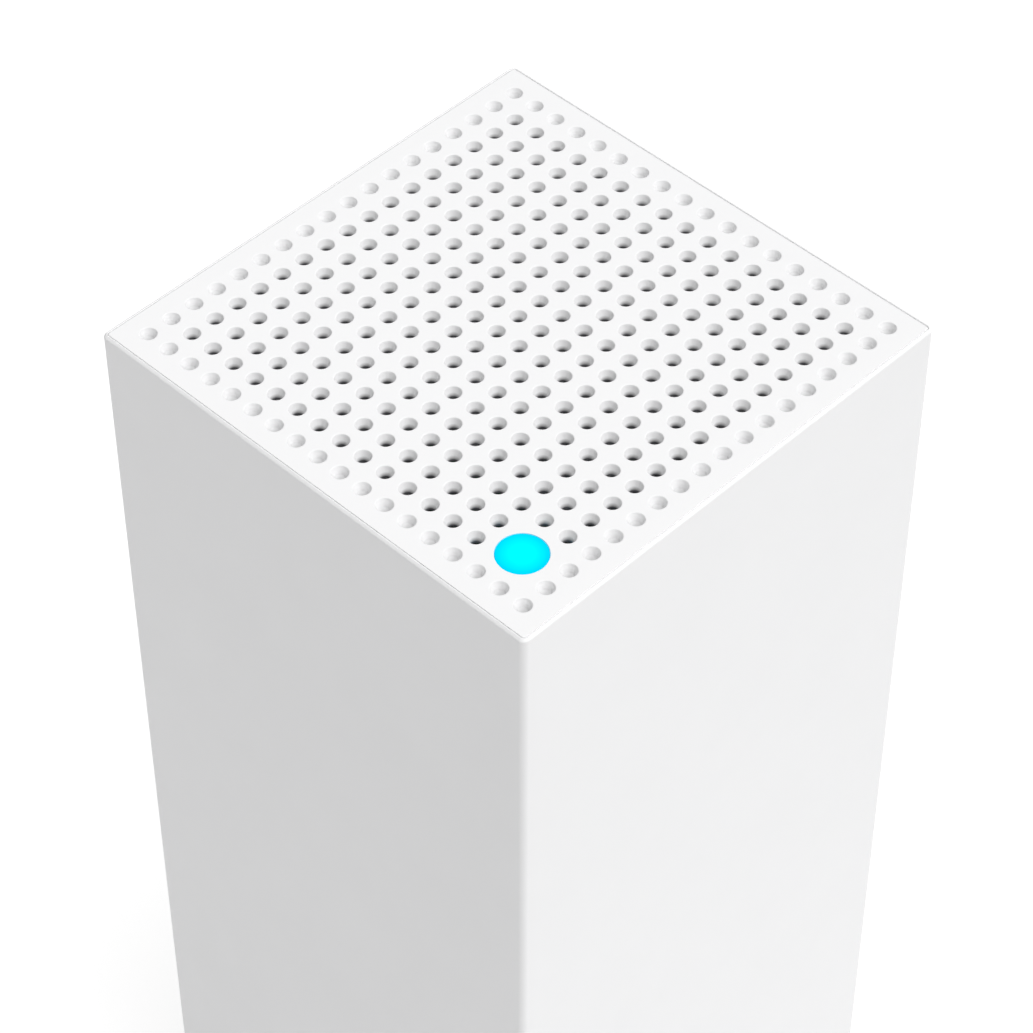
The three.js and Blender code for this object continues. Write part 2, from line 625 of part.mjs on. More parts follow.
// A finned extrusion: a base plate wider than its comb of fins, with screw holes beside the fins.
function heatSink(screwPlaces, holeEnd) {
  const finPitch = (2 * FIN_COMB_HALF - FIN_THICKNESS) / (FIN_COUNT - 1);
  const outline = new THREE.Shape();
  outline.moveTo(-HEAT_SINK_BASE_HALF, SINK_BASE_BOTTOM);
  outline.lineTo(-HEAT_SINK_BASE_HALF, SINK_BASE_TOP);
  for (let fin = 0; fin < FIN_COUNT; fin += 1) {
    const x = -FIN_COMB_HALF + fin * finPitch;
    outline.lineTo(x, SINK_BASE_TOP);
    outline.lineTo(x, SINK_TOP);
    outline.lineTo(x + FIN_THICKNESS, SINK_TOP);
    outline.lineTo(x + FIN_THICKNESS, SINK_BASE_TOP);
  }
  outline.lineTo(HEAT_SINK_BASE_HALF, SINK_BASE_TOP);
  outline.lineTo(HEAT_SINK_BASE_HALF, SINK_BASE_BOTTOM);
  outline.closePath();
  const holeDepths = [SINK_BASE_BOTTOM - 1, holeEnd];
  return cut(
    prism(outline, [HEAT_SINK_BOTTOM, HEAT_SINK_TOP]),
    ...screwPlaces.map((place) => crossCylinder(SCREW_RADIUS + GAP, place, holeDepths, 8)),
  );
}

// ---- Status light -------------------------------------------------------------------------------

function ledBoard() {
  const near = LED_BOARD_CENTRE - LED_BOARD_HALF;
  const far = LED_BOARD_CENTRE + LED_BOARD_HALF;
  return cut(
    box([near, far], [-far, -near], LED_BOARD_LEVELS),
    ...LED_PEGS.map((place) => cylinder(PEG_RADIUS + GAP, place, [DECK_TOP, DECK_TOP + 3], 8)),
  );
}

// Turned solids of the light, about its own axis: each profile is [radius, height] and closes on the axis.
function turned(profile, sides) {
  const points = profile.map(([radius, z]) => new THREE.Vector2(radius, z));
  const geometry = new THREE.LatheGeometry(points, sides);
  geometry.rotateX(Math.PI / 2);
  return solidOf(geometry);
}

function statusLens() {
  const flangeTop = GRILLE_BOTTOM - GAP;
  return turned([
    [0, LENS_BOTTOM],
    [LENS_FLANGE_RADIUS, LENS_BOTTOM],
    [LENS_FLANGE_RADIUS, flangeTop],
    [LENS_RADIUS, flangeTop],
    [LENS_RADIUS, HEIGHT],
    [0, HEIGHT],
  ], 24);
}

// A clear rod with a cup that stands over the light-emitting chip.
function lightGuide() {
  const [cupInner, cupOuter] = GUIDE_CUP_RADII;
  const cupBottom = LED_BOARD_LEVELS[1] + GAP;
  const cupRoof = LED_TOP + GAP;
  const cupTop = cupRoof + 0.8;
  return turned([
    [0, cupRoof],
    [cupInner, cupRoof],
    [cupInner, cupBottom],
    [cupOuter, cupBottom],
    [cupOuter, cupTop],
    [GUIDE_RADIUS, cupTop],
    [GUIDE_RADIUS, LENS_BOTTOM - GAP],
    [0, LENS_BOTTOM - GAP],
  ], 16);
}

// ---- Antennas and leads -------------------------------------------------------------------------

function antennaBoard() {
  return cut(
    box(
      [-ANTENNA_HALF_WIDTH, ANTENNA_HALF_WIDTH],
      [-RIB_FACE - GAP - ANTENNA_THICKNESS, -RIB_FACE - GAP],
      [ANTENNA_BOTTOM, ANTENNA_BOTTOM + ANTENNA_HEIGHT],
    ),
    ...ANTENNA_PEG_HEIGHTS.map((z) => crossCylinder(PEG_RADIUS + GAP, [0, z], [-HALF, -RIB_FACE], 6)),
  );
}

// A coaxial lead along a smooth route, with a round plug lying on the board at its far end.
function lead(route, plugSide) {
  const section = new THREE.Shape();
  const sides = 6;
  for (let side = 0; side < sides; side += 1) {
    const angle = (side / sides) * 2 * Math.PI;
    const point = [LEAD_RADIUS * Math.cos(angle), LEAD_RADIUS * Math.sin(angle)];
    if (side === 0) section.moveTo(...point);
    else section.lineTo(...point);
  }
  section.closePath();
  const path = new THREE.CatmullRomCurve3(route.map((point) => new THREE.Vector3(...point)));
  const sweep = { extrudePath: path, steps: 12, bevelEnabled: false };
  const tube = solidOf(new THREE.ExtrudeGeometry(section, sweep));
  const [x, y, z] = route[route.length - 1];
  const plug = plugSide < 0 ? [y - PLUG_HEIGHT, y + 0.5] : [y - 0.5, y + PLUG_HEIGHT];
  return join(tube, crossCylinder(LEAD_PLUG_RADIUS, [x, z], plug, 8));
}

// From an antenna on the -Y or +Y side (side = -1 or 1), over the heat sink to the board.
function straightLeadRoute(x, side) {
  const boardY = side < 0 ? PLUG_FRONT_Y : PLUG_BACK_Y;
  return [
    [x, side * LEAD_START_Y, LEAD_START_Z],
    [x, side * 31.6, LEAD_START_Z + 7],
    [x, side * 30.4, LEAD_END_Z - 8],
    [x, side * 26, LEAD_END_Z - 0.6],
    [x, side * 14, LEAD_END_Z + 0.6],
    [x, boardY, LEAD_END_Z],
  ];
}

// From an antenna on the -X or +X side (side = -1 or 1), beside the heat sink to the board.
function sideLeadRoute(side) {
  return [
    [side * LEAD_START_Y, -6.5, LEAD_START_Z],
    [side * 30.4, -7, LEAD_START_Z + 4],
    [side * 28, -7, LEAD_END_Z - 9],
    [side * 24, -5.5, LEAD_END_Z - 2],
    [side * 20, PLUG_FRONT_Y, LEAD_END_Z],
  ];
}

// From the status light's board, down through the deck's opening to the main board.
const LIGHT_LEAD_ROUTE = [
  [22.5, -19.7, DECK_TOP + 1],
  [20, -19, DECK_TOP - 1],
  [19, -18, DECK_TOP - 8],
  [17, -9, BOARD_TOP_Z + 6],
  [15.2, PLUG_FRONT_Y - 3, LEAD_END_Z + 1],
  [15, PLUG_FRONT_Y, LEAD_END_Z],
];

// ---- Inner frame --------------------------------------------------------------------------------
// Four posts, a shelf for the socket board, two levels of bars for the main board, a shelf and ribs for the
// antennas, and the deck that carries the status light and holds the grille's hooks.

function innerFrame() {
  const postBottom = FOOT_STAND + BOSS_HEIGHT + GAP;
  const posts = POST_PLACES.map(([x, y]) => (
    box([x - POST_HALF, x + POST_HALF], [y - POST_HALF, y + POST_HALF], [postBottom, DECK_TOP])
  ));
  const deckOpening = 24;
  const antennaOpening = 31;
  const socketShelfLevels = [IO_SHELF_BOTTOM, IO_SHELF_BOTTOM + IO_SHELF_HEIGHT];
  const socketShelf = squareRing(POST_CENTRE + POST_HALF, deckOpening, socketShelfLevels);
  const antennaShelfLevels = [ANTENNA_SHELF_Z, ANTENNA_SHELF_Z + ANTENNA_SHELF_THICKNESS];
  const antennaShelf = squareRing(FRAME_HALF, antennaOpening, antennaShelfLevels);
  const deck = squareRing(FRAME_HALF, deckOpening, [DECK_BOTTOM, DECK_TOP]);
  const barFront = BOARD_BACK_Y + GAP;
  const bars = CROSSBAR_LEVELS.flatMap((z) => {
    const levels = [z, z + CROSSBAR_HEIGHT];
    return [
      box([-RIB_FACE, RIB_FACE], [barFront, barFront + CROSSBAR_THICKNESS], levels),
      box([SIDE_BAR_INNER, RIB_FACE], [-POST_CENTRE, POST_CENTRE], levels),
      box([-RIB_FACE, -SIDE_BAR_INNER], [-POST_CENTRE, POST_CENTRE], levels),
    ];
  });
  const ribDepths = [-RIB_FACE, -RIB_FACE + RIB_THICKNESS];
  const pegDepths = [-RIB_FACE - ANTENNA_THICKNESS - 2 * GAP, -RIB_FACE + 0.5];
  const rib = join(
    box([-RIB_HALF_WIDTH, RIB_HALF_WIDTH], ribDepths, [ANTENNA_SHELF_Z, DECK_TOP]),
    ...ANTENNA_PEG_HEIGHTS.map((z) => crossCylinder(PEG_RADIUS, [0, z], pegDepths, 6)),
  );
  const ribs = ANTENNA_PLACES.map(({ degrees, along }) => (
    rib.translate([along, 0, 0]).rotate([0, 0, degrees])
  ));
  const lightPegs = LED_PEGS.map((place) => cylinder(PEG_RADIUS, place, [DECK_TOP - 1, DECK_TOP + 2.2], 8));
  const hookSlotHalfWidth = HOOK_HALF_WIDTH + 0.5;
  const hookSlot = box(
    [HOOK_ALONG - hookSlotHalfWidth, HOOK_ALONG + hookSlotHalfWidth],
    [-GRID_HALF - 0.3, -GRID_HALF + 2],
    [DECK_BOTTOM - 1, DECK_TOP + 1],
  );
  const holeRadius = SCREW_RADIUS + GAP;
  const baseScrewDepths = [0, 17];
  const socketScrewDepths = [IO_BOARD_TOP, IO_SHELF_BOTTOM + 4.4];
  const boardScrewDepths = [BOARD_FRONT_Y, BOARD_BACK_Y + 3.9];
  return cut(
    join(...posts, socketShelf, ...bars, antennaShelf, deck, ...ribs, ...lightPegs),
    ...onEachSide(hookSlot),
    ...POST_PLACES.map((place) => cylinder(holeRadius, place, baseScrewDepths, 8)),
    ...IO_SCREWS.map((place) => cylinder(holeRadius, place, socketScrewDepths, 8)),
    ...BOARD_SCREWS.map((place) => crossCylinder(holeRadius, place, boardScrewDepths, 8)),
  );
}

// ---- Assembly -----------------------------------------------------------------------------------

const casing = addGroup();
addPiece(casing, 'sleeve', sleeve(), WHITE_PLASTIC);
addPiece(casing, 'top_grille', topGrille(), WHITE_PLASTIC);
addPiece(casing, 'base', base(), WHITE_PLASTIC);
FOOT_PLACES.forEach(({ centre, turned: isTurned }, index) => {
  const pad = footOutline(isTurned, FOOT_HALF_WIDTH, [0, 0], [0, FOOT_TOP]);
  addPiece(casing, `foot_${index + 1}`, pad, FOOT_RUBBER, [...centre, 0]);
});
POST_PLACES.forEach((place, index) => {
  const seat = BASE_PLATE_TOP - GAP;
  addPiece(casing, `base_screw_${index + 1}`, screw(12), SCREW_STEEL, [...place, seat]);
});

const statusLight = addGroup();
const overLight = [LIGHT_CENTRE, -LIGHT_CENTRE, 0];
addPiece(statusLight, 'status_lens', statusLens(), LIT_PLASTIC, overLight);
addPiece(statusLight, 'light_guide', lightGuide(), CLEAR_PLASTIC, overLight);
const led = squareBlock(LED_HALF, [LED_BOARD_LEVELS[1] + GAP, LED_TOP]);
addPiece(statusLight, 'status_led', led, CLEAR_PLASTIC, overLight);
addPiece(statusLight, 'status_light_board', ledBoard(), GREEN_BOARD);
addPiece(statusLight, 'status_light_lead', lead(LIGHT_LEAD_ROUTE, -1), CABLE_JACKET);

addPiece(router, 'inner_frame', innerFrame(), FRAME_PLASTIC);

const antennas = addGroup();
ANTENNA_PLACES.forEach(({ degrees, along }, index) => {
  const side = addGroup(antennas);
  side.rotation.z = THREE.MathUtils.degToRad(degrees);
  addPiece(side, `antenna_${index + 1}`, antennaBoard(), GREEN_BOARD, [along, 0, 0]);
});
const leadRoutes = [
  [straightLeadRoute(9.4, -1), -1],
  [straightLeadRoute(-9.4, -1), -1],
  [sideLeadRoute(1), -1],
  [straightLeadRoute(-9.4, 1), 1],
  [straightLeadRoute(9.4, 1), 1],
  [sideLeadRoute(-1), -1],
];
leadRoutes.forEach(([route, plugSide], index) => {
  addPiece(antennas, `antenna_lead_${index + 1}`, lead(route, plugSide), CABLE_JACKET);
});

const boards = addGroup();
addPiece(boards, 'main_board', mainBoard(), GREEN_BOARD);
addPiece(boards, 'socket_board', socketBoard(), GREEN_BOARD);
addPiece(boards, 'edge_connector', edgeConnector(), BLACK_PLASTIC);
BOARD_SCREWS.forEach(([x, z], index) => {
  const seat = [x, BOARD_FRONT_Y - GAP, z];
  const piece = addPiece(boards, `board_screw_${index + 1}`, screw(4.6), SCREW_STEEL, seat);
  piece.rotation.x = -Math.PI / 2;
});
IO_SCREWS.forEach(([x, y], index) => {
  addPiece(boards, `socket_board_screw_${index + 1}`, screw(5.2), SCREW_STEEL, [x, y, IO_PART_TOP]);
});

// The rear stack rises from the board's +Y face, and the front stack is the same half-turned.
const rearStack = addGroup(boards);
rearStack.position.y = BOARD_BACK_Y;
const frontStack = addGroup(boards);
frontStack.position.y = BOARD_FRONT_Y;
frontStack.rotation.z = Math.PI;
const mirrored = SINK_SCREWS.map(([x, z]) => [-x, z]);
for (const [side, group, places, holeEnd] of [
  ['front', frontStack, mirrored, SINK_BASE_TOP + 1],
  ['rear', rearStack, SINK_SCREWS, SINK_BASE_TOP - 0.6],
]) {
  addPiece(group, `${side}_shield`, shieldCan(), SHIELD_STEEL);
  addPiece(group, `${side}_thermal_pad`, thermalPad(), PAD_RUBBER);
  addPiece(group, `${side}_heat_sink`, heatSink(places, holeEnd), ALUMINIUM);
}
addPiece(frontStack, 'processor', chip(8), CHIP_RESIN, [0, 0, 108]);
addPiece(rearStack, 'radio_chip_1', chip(5), CHIP_RESIN, [9, 0, 92]);
addPiece(rearStack, 'radio_chip_2', chip(5), CHIP_RESIN, [-9, 0, 92]);
addPiece(rearStack, 'radio_chip_3', chip(5), CHIP_RESIN, [0, 0, 113]);
SINK_SCREWS.forEach(([x, z], index) => {
  const seat = BOARD_FRONT_Y - SINK_BASE_TOP - GAP;
  const length = BOARD_BACK_Y + SINK_BASE_TOP - 0.9 - seat;
  const piece = addPiece(boards, `heat_sink_screw_${index + 1}`, screw(length), SCREW_STEEL, [x, seat, z]);
  piece.rotation.x = -Math.PI / 2;
});

const sockets = addGroup();
PORT_CENTRES.forEach((x, index) => {
  addPiece(sockets, `network_port_${index + 1}`, networkPort(), BLACK_PLASTIC, [x, PORT_ROW_Y, IO_FACE]);
});
addPiece(sockets, 'power_inlet', powerInlet(), BLACK_PLASTIC, [...INLET_CENTRE, IO_FACE]);
const inletPin = cylinder(INLET_PIN_RADIUS, [0, 0], [1, IO_PART_TOP - IO_FACE - 2 - GAP], 10);
addPiece(sockets, 'power_inlet_pin', inletPin, CONTACT_BRASS, [...INLET_CENTRE, IO_FACE]);

const powerSwitch = addGroup(sockets);
powerSwitch.position.set(...ROCKER_CENTRE, ROCKER_PIVOT_Z);
addPiece(powerSwitch, 'power_switch_housing', switchHousing(), BLACK_PLASTIC);
const rocker = addPiece(powerSwitch, 'power_rocker', powerRocker(), BLACK_PLASTIC);
rocker.rotation.y = THREE.MathUtils.degToRad(ROCKER_TILT_DEGREES);

const reset = addGroup(sockets);
reset.position.set(...BUTTON_CENTRE, 0);
addPiece(reset, 'reset_button', resetButton(), RED_PLASTIC, [0, 0, BAY_CEILING]);
addPiece(reset, 'reset_switch', resetSwitch(), BLACK_PLASTIC);
addPiece(reset, 'reset_plunger', resetPlunger(), CONTACT_BRASS);

export default router;
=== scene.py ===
import json
import random
from math import atan2, cos, hypot, pi, radians, sin, tan

import bmesh
import bpy
from mathutils import Matrix, Vector
from mathutils.geometry import delaunay_2d_cdt


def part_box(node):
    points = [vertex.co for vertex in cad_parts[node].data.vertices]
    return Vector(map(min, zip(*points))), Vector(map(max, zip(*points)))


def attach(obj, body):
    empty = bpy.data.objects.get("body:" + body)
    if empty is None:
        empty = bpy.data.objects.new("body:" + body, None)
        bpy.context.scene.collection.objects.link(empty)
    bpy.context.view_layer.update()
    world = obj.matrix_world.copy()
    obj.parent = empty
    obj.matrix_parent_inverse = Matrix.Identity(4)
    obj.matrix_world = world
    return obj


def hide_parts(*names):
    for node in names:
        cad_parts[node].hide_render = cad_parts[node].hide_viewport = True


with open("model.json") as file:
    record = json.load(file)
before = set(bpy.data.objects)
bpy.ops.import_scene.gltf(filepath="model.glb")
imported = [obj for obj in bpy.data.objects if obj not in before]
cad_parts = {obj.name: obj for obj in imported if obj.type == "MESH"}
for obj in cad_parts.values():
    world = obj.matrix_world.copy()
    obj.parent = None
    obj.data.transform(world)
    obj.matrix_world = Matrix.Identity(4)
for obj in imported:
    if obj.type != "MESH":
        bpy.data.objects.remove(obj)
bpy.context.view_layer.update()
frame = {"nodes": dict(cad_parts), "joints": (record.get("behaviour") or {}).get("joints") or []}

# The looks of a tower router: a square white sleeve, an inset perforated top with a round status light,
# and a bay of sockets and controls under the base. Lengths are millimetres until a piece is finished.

MM = 0.001
HOUSING = "router_body"
ROCKER = "power_rocker"
BUTTON = "reset_button"


def cad_box(node):
    """Lowest and highest corner of a CAD node, in millimetres."""
    low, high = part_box(node)
    return low / MM, high / MM


def cad_centre(node):
    low, high = cad_box(node)
    return (low + high) / 2


def numbered(name, count):
    return [f"{name}_{number}" for number in range(1, count + 1)]


# ---- Driving dimensions ----

SLEEVE_LOW, SLEEVE_HIGH = cad_box("sleeve")
HALF = SLEEVE_HIGH.x
TOP = SLEEVE_HIGH.z
EDGE_RADIUS = 1.0
INNER_EDGE_RADIUS = 0.3
WALL = 2.0
RIM_WIDTH = 0.5
RIM_FALL = 0.3  # the rim slopes outwards by this much
RIM_BEVEL = 0.1  # on its inner edge
RIM_DEPTH = 2.3  # from the rim down to the ledge that the grille hangs over
SEAM = 0.12  # around the grille
SEAM_DEPTH = 0.16
SEAM_GAP = 0.03  # what is left open under the seam
GRILLE_ROUNDING = 0.08

HOLE_PITCH = 4.1
HOLES_PER_SIDE = 18
HOLE_RADIUS = 1.15
HOLE_END_RADIUS = 0.64  # the holes narrow towards the inside
HOLE_FLARE = 1.3
HOLE_ROUNDING = 0.18
HOLE_SIDES = 24
SHADE_START_DEPTH = 0.85  # below this, shade is painted into the grille's colour, darker and darker
# from here down, the painted shade is at its darkest
DARKEST_SHADE_DEPTH = 1.5
GRILLE_THICKNESS = 1.7
POCKET_DEPTH = 1.2
POCKET_END_RADIUS = 0.82
POCKET_FLARE = 1.6
POCKET_CORNER = 0.3
POCKET_DISH = 0.05
SKIRT_DEPTH = 5.0  # from the top down to the skirt's lower edge
SKIRT_INNER_HALF = 33.2
LEG_THICKNESS = 1.2
LEG_OFFSET = 0.2  # from the skirt's inner face out to the leg's
HOOK_ALONG = 8
HOOK_HALF_WIDTH = 2.5
HOOK_REACH = 0.9
HOOK_HEIGHT = 2.2
LENS_STEP = 1.5  # the light's centre, in pitches in from the corner hole both ways
LENS_RADIUS = 3.5
LENS_SEAM = 0.06
LENS_HOLE_ROUNDING = 0.05
LENS_FLANGE = 0.6
LENS_BEVEL = 0.12
LENS_SIDES = 72
GUIDE_RADIUS = 3.1
GUIDE_CUP_RADIUS = 2.6
GUIDE_CUP_ROOF = 0.8
GUIDE_CHAMFER = 0.2
GRID_HALF = (HOLES_PER_SIDE - 1) * HOLE_PITCH / 2
LIGHT_X = GRID_HALF - LENS_STEP * HOLE_PITCH
LIGHT_CENTRE = (LIGHT_X, -LIGHT_X)

BASE_HALF = 37.05
BASE_PLATE_TOP = 2.8
BASE_FLANGE = 0.8
BASE_SKIRT_TOP = 12
BAY_HALF_WIDTH = 27
BAY_FRONT_Y = -14
BAY_WALL = 2
NOTCH_HALF_WIDTH = 13
NOTCH_TOP = 14
NOTCH_CORNER = 1.5
BASE_SKIRT_WALL = 1.6
BASE_CORNER = 0.6
BAY_CORNER = 0.8
SOCKET_CORNER = 0.5
BASE_SCREWS = numbered("base_screw", 4)
POSTS = [cad_centre(node).xy for node in BASE_SCREWS]
PAD_RADIUS = 3.6
PAD_HEIGHT = 3.6
COUNTERBORE_RADIUS = 2.8
VENT_COUNT = 13
VENT_HALF_WIDTH = 0.8
VENT_ROUNDING = 0.98 * VENT_HALF_WIDTH
VENT_Y = (-26.4, -18.0)
FEET = numbered("foot", 4)
FOOT_ROUNDING = 0.999  # as a share of half its width

SCREW_RADIUS = 1.2
SCREW_HEAD_RADIUS = 2.3
SCREW_HEAD_HEIGHT = 1.5
THREAD_PITCH = 0.9
THREAD_DEPTH = 0.22
RECESS_DEPTH = 0.9
RECESS_HALF = (1.3, 0.28)

PORTS = ("network_port_1", "network_port_2")
PORT_MOUTH_HALF = 5.9
PORT_MOUTH_Y = (-3.0, 4.4)  # about the port's middle
PORT_MOUTH_DEPTH = 12.5
PORT_LATCH_HALF = 3.1
PORT_LATCH_REACH = 1.5
PORT_TIP_HALF = 1.7
PORT_TIP_REACH = 2.7
PORT_TIP_DEPTH = 8.5
PORT_WIRES = 8
PORT_WIRE_PITCH = 1.02
PORT_WIRE_SIZE = 0.35
INLET_BORE_RADIUS = 3.2
INLET_BORE_DEPTH = 9.5
INLET_LEAD_IN = 0.5
INLET_BACK = 2  # behind the pin's passage
LINING_START = 1.5
LINING_FIT = 0.05
LINING_THICKNESS = 0.2

PIVOT = Vector(frame["joints"][0]["pos_m"]) / MM
ROCKER_TILT = radians(8)  # at rest, from level
ROCKER_REACH = 6.7
ROCKER_HALF_WIDTH = 3.5
ROCKER_WAIST = 2.3  # from the pivot to the middle of the faces
ROCKER_FACE_ANGLE = radians(30)
ROCKER_HEEL_ANGLE = radians(-9)
TRUNNION_RADIUS = 0.8
TRUNNION_LENGTH = 0.8
TRUNNION_PLAY = 0.25
WELL_END_GAP = 0.35
WELL_RISE = 2.6  # above the pivot
MARK_HEIGHT = 0.12
MARK_ROOT = 0.3  # how far a mark reaches into the rocker
MARK_PLACE = 0.52  # as a share of the rocker's reach
MARK_FALL = 0.42  # as a share of the fall from the waist to the tip
BAR_HALF = (0.2, 1.1)
RING_RADIUS = 1.2
RING_WIDTH = 0.4
BUTTON_RADIUS = 1.9
BUTTON_FLANGE_RISE = 3.2
BUTTON_FLANGE_THICKNESS = 1.0
BUTTON_STEM_RADIUS = 1.3

TRACE_WIDTH = 1.0
TRACE_RISE = 0.06

CLEARANCE = 0.3  # around each socket in the bay's ceiling
PAST = 1  # how far a cutter runs past the surface that it opens
SMALL_SIDES = 32
ROUND_SIDES = 48
LARGE_SIDES = 64
CORNER_STEPS = 8  # along each round corner of the sleeve and the grille
SAME_PLACE = 0.001  # points this close together are merged
FLAT_ANGLE = radians(0.5)  # edges flatter than this are left out


# ---- Outlines and solids ----


def rectangle(x, y):
    return [(x[0], y[0]), (x[1], y[0]), (x[1], y[1]), (x[0], y[1])]


def square(half):
    return rectangle((-half, half), (-half, half))


def circle(radius, centre=(0, 0), sides=ROUND_SIDES):
    angles = [2 * pi * side / sides for side in range(sides)]
    return [(centre[0] + radius * cos(a), centre[1] + radius * sin(a)) for a in angles]


def rounded(outline, radii, steps=6):
    """A closed outline with its corners rounded. Radii is one radius, or one for each corner."""
    if not isinstance(radii, list):
        radii = [radii] * len(outline)
    points = []
    for number, radius in enumerate(radii):
        corner = Vector(outline[number])
        if not radius:
            points.append(tuple(corner))
            continue
        before = Vector(outline[number - 1]) - corner
        after = Vector(outline[(number + 1) % len(outline)]) - corner
        reach = radius / tan(before.angle(after) / 2)
        start = corner + before.normalized() * reach
        end = corner + after.normalized() * reach
        inward = (before.normalized() + after.normalized()).normalized()
        centre = corner + inward * hypot(reach, radius)
        for step in range(steps + 1):
            spoke = (start - centre).slerp(end - centre, step / steps).normalized() * radius
            points.append(tuple(centre + spoke))
    return points


def shares(steps):
    """Even shares of a way, from its first step to the whole."""
    return [step / steps for step in range(1, steps + 1)]


def in_scene(name, data):
    made = bpy.data.objects.new(name, data)
    bpy.context.scene.collection.objects.link(made)
    return made


def solid_of(mesh):
    """An object in the scene that holds a finished bmesh."""
    bmesh.ops.recalc_face_normals(mesh, faces=mesh.faces)
    data = bpy.data.meshes.new("solid")
    mesh.to_mesh(data)
    mesh.free()
    return in_scene("solid", data)


def loop_of(mesh, outline, z):
    return [mesh.verts.new((x, y, z)) for x, y in outline]


def bridge(mesh, *loops):
    """Joins each loop to the next by a band. A loop of one vertex is a pole."""
    for first, second in zip(loops, loops[1:]):
        sides = max(len(first), len(second))
        for side in range(sides):
            after = (side + 1) % sides
            corners = [first[side % len(first)], first[after % len(first)]]
            corners += [second[after % len(second)], second[side % len(second)]]
            mesh.faces.new(list(dict.fromkeys(corners)))


def lathe(mesh, profile, centre, sides):
    """Turns a profile of radius and height about an upright axis. It returns the first and last loops."""
    rows = [loop_of(mesh, circle(r, centre, sides) if r else [centre], z) for r, z in profile]
    bridge(mesh, *rows)
    return rows[0], rows[-1]


def prism(outline, z):
    mesh = bmesh.new()
    lower = loop_of(mesh, outline, z[0])
    upper = loop_of(mesh, outline, z[1])
    bridge(mesh, lower, upper)
    mesh.faces.new(lower)
    mesh.faces.new(upper)
    return solid_of(mesh)


def block(x, y, z, radius=0):
    return prism(rounded(rectangle(x, y), radius), z)


def centred_block(half_x, half_y, z, radius):
    return block((-half_x, half_x), (-half_y, half_y), z, radius)


def square_block(half, z, radius):
    return centred_block(half, half, z, radius)


def cad_block(node, radius, margin=0, z=None):
    """A block over a CAD node's outline, grown by a margin. It is as tall as the node unless z is given."""
    low, high = cad_box(node)
    x, y = (low.x - margin, high.x + margin), (low.y - margin, high.y + margin)
    return block(x, y, z or (low.z, high.z), radius)


def rod(radius, centre, z, sides=ROUND_SIDES):
    return prism(circle(radius, centre, sides), z)


def turned(profile, centre=(0, 0), sides=ROUND_SIDES):
    """A turned solid, whose profile runs from pole to pole."""
    mesh = bmesh.new()
    lathe(mesh, profile, centre, sides)
    return solid_of(mesh)


def moved(solid, matrix):
    solid.data.transform(matrix)
    return solid


def along_y(solid, centre):
    """Lays an upright solid down along +Y, and moves its origin to the centre."""
    return moved(solid, Matrix.Translation(centre) @ Matrix.Rotation(-pi / 2, 4, "X"))


def apply_modifiers(solid):
    bpy.context.view_layer.update()
    graph = bpy.context.evaluated_depsgraph_get()
    data = bpy.data.meshes.new_from_object(solid.evaluated_get(graph))
    solid.modifiers.clear()
    solid.data = data
    return solid


def combined(operation, first, tools):
    for tool in tools:
        modifier = first.modifiers.new("combine", "BOOLEAN")
        modifier.operation = operation
        modifier.solver = "MANIFOLD"
        modifier.object = tool
    apply_modifiers(first)
    for tool in tools:
        bpy.data.objects.remove(tool)
    return first


def joined(first, *others):
    return combined("UNION", first, others)


def cut(first, *tools):
    return combined("DIFFERENCE", first, tools)


def gathered(solids):
    """Several solids that don't touch, as one object."""
    mesh = bmesh.new()
    for solid in solids:
        mesh.from_mesh(solid.data)
        bpy.data.objects.remove(solid)
    return solid_of(mesh)


def refined(node):
    """A copy of a CAD node's solid, for softer edges."""
    mesh = bmesh.new()
    mesh.from_mesh(frame["nodes"][node].data)
    bmesh.ops.scale(mesh, vec=Vector((1, 1, 1)) / MM, verts=mesh.verts)
    bmesh.ops.remove_doubles(mesh, verts=mesh.verts, dist=SAME_PLACE)
    return solid_of(mesh)


def without_flat_edges(solid):
    mesh = bmesh.new()
    mesh.from_mesh(solid.data)
    bmesh.ops.dissolve_limit(mesh, angle_limit=FLAT_ANGLE, verts=mesh.verts, edges=mesh.edges)
    mesh.to_mesh(solid.data)
    mesh.free()


def add_piece(
    name, solid, look, body=HOUSING, stands_for=(), bevel=0.0, bevel_angle=40, crease=50
):
    """Finishes a piece: round edges, metres, its material, its body and the CAD nodes it stands for."""
    solid.name = name
    if bevel:
        without_flat_edges(solid)
        edges = solid.modifiers.new("edges", "BEVEL")
        edges.width = bevel
        edges.segments = 2
        edges.limit_method = "ANGLE"
        edges.angle_limit = radians(bevel_angle)
    apply_modifiers(solid)
    solid.data.polygons.foreach_set("use_smooth", [True] * len(solid.data.polygons))
    solid.data.set_sharp_from_angle(angle=radians(crease))
    solid.modifiers.new("normals", "WEIGHTED_NORMAL").keep_sharp = True
    apply_modifiers(solid)
    solid.data.transform(Matrix.Scale(MM, 4))
    solid.data.name = name
    solid.data.materials.clear()
    solid.data.materials.append(LOOKS[look])
    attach(solid, body)
    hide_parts(*stands_for)
    return solid


# ---- Materials ----

LOOKS = {}


def set_values(node, values):
    """Sets a node's sockets by name, with _ for a space."""
    for name, value in values.items():
        node.inputs[name.replace("_", " ")].default_value = value


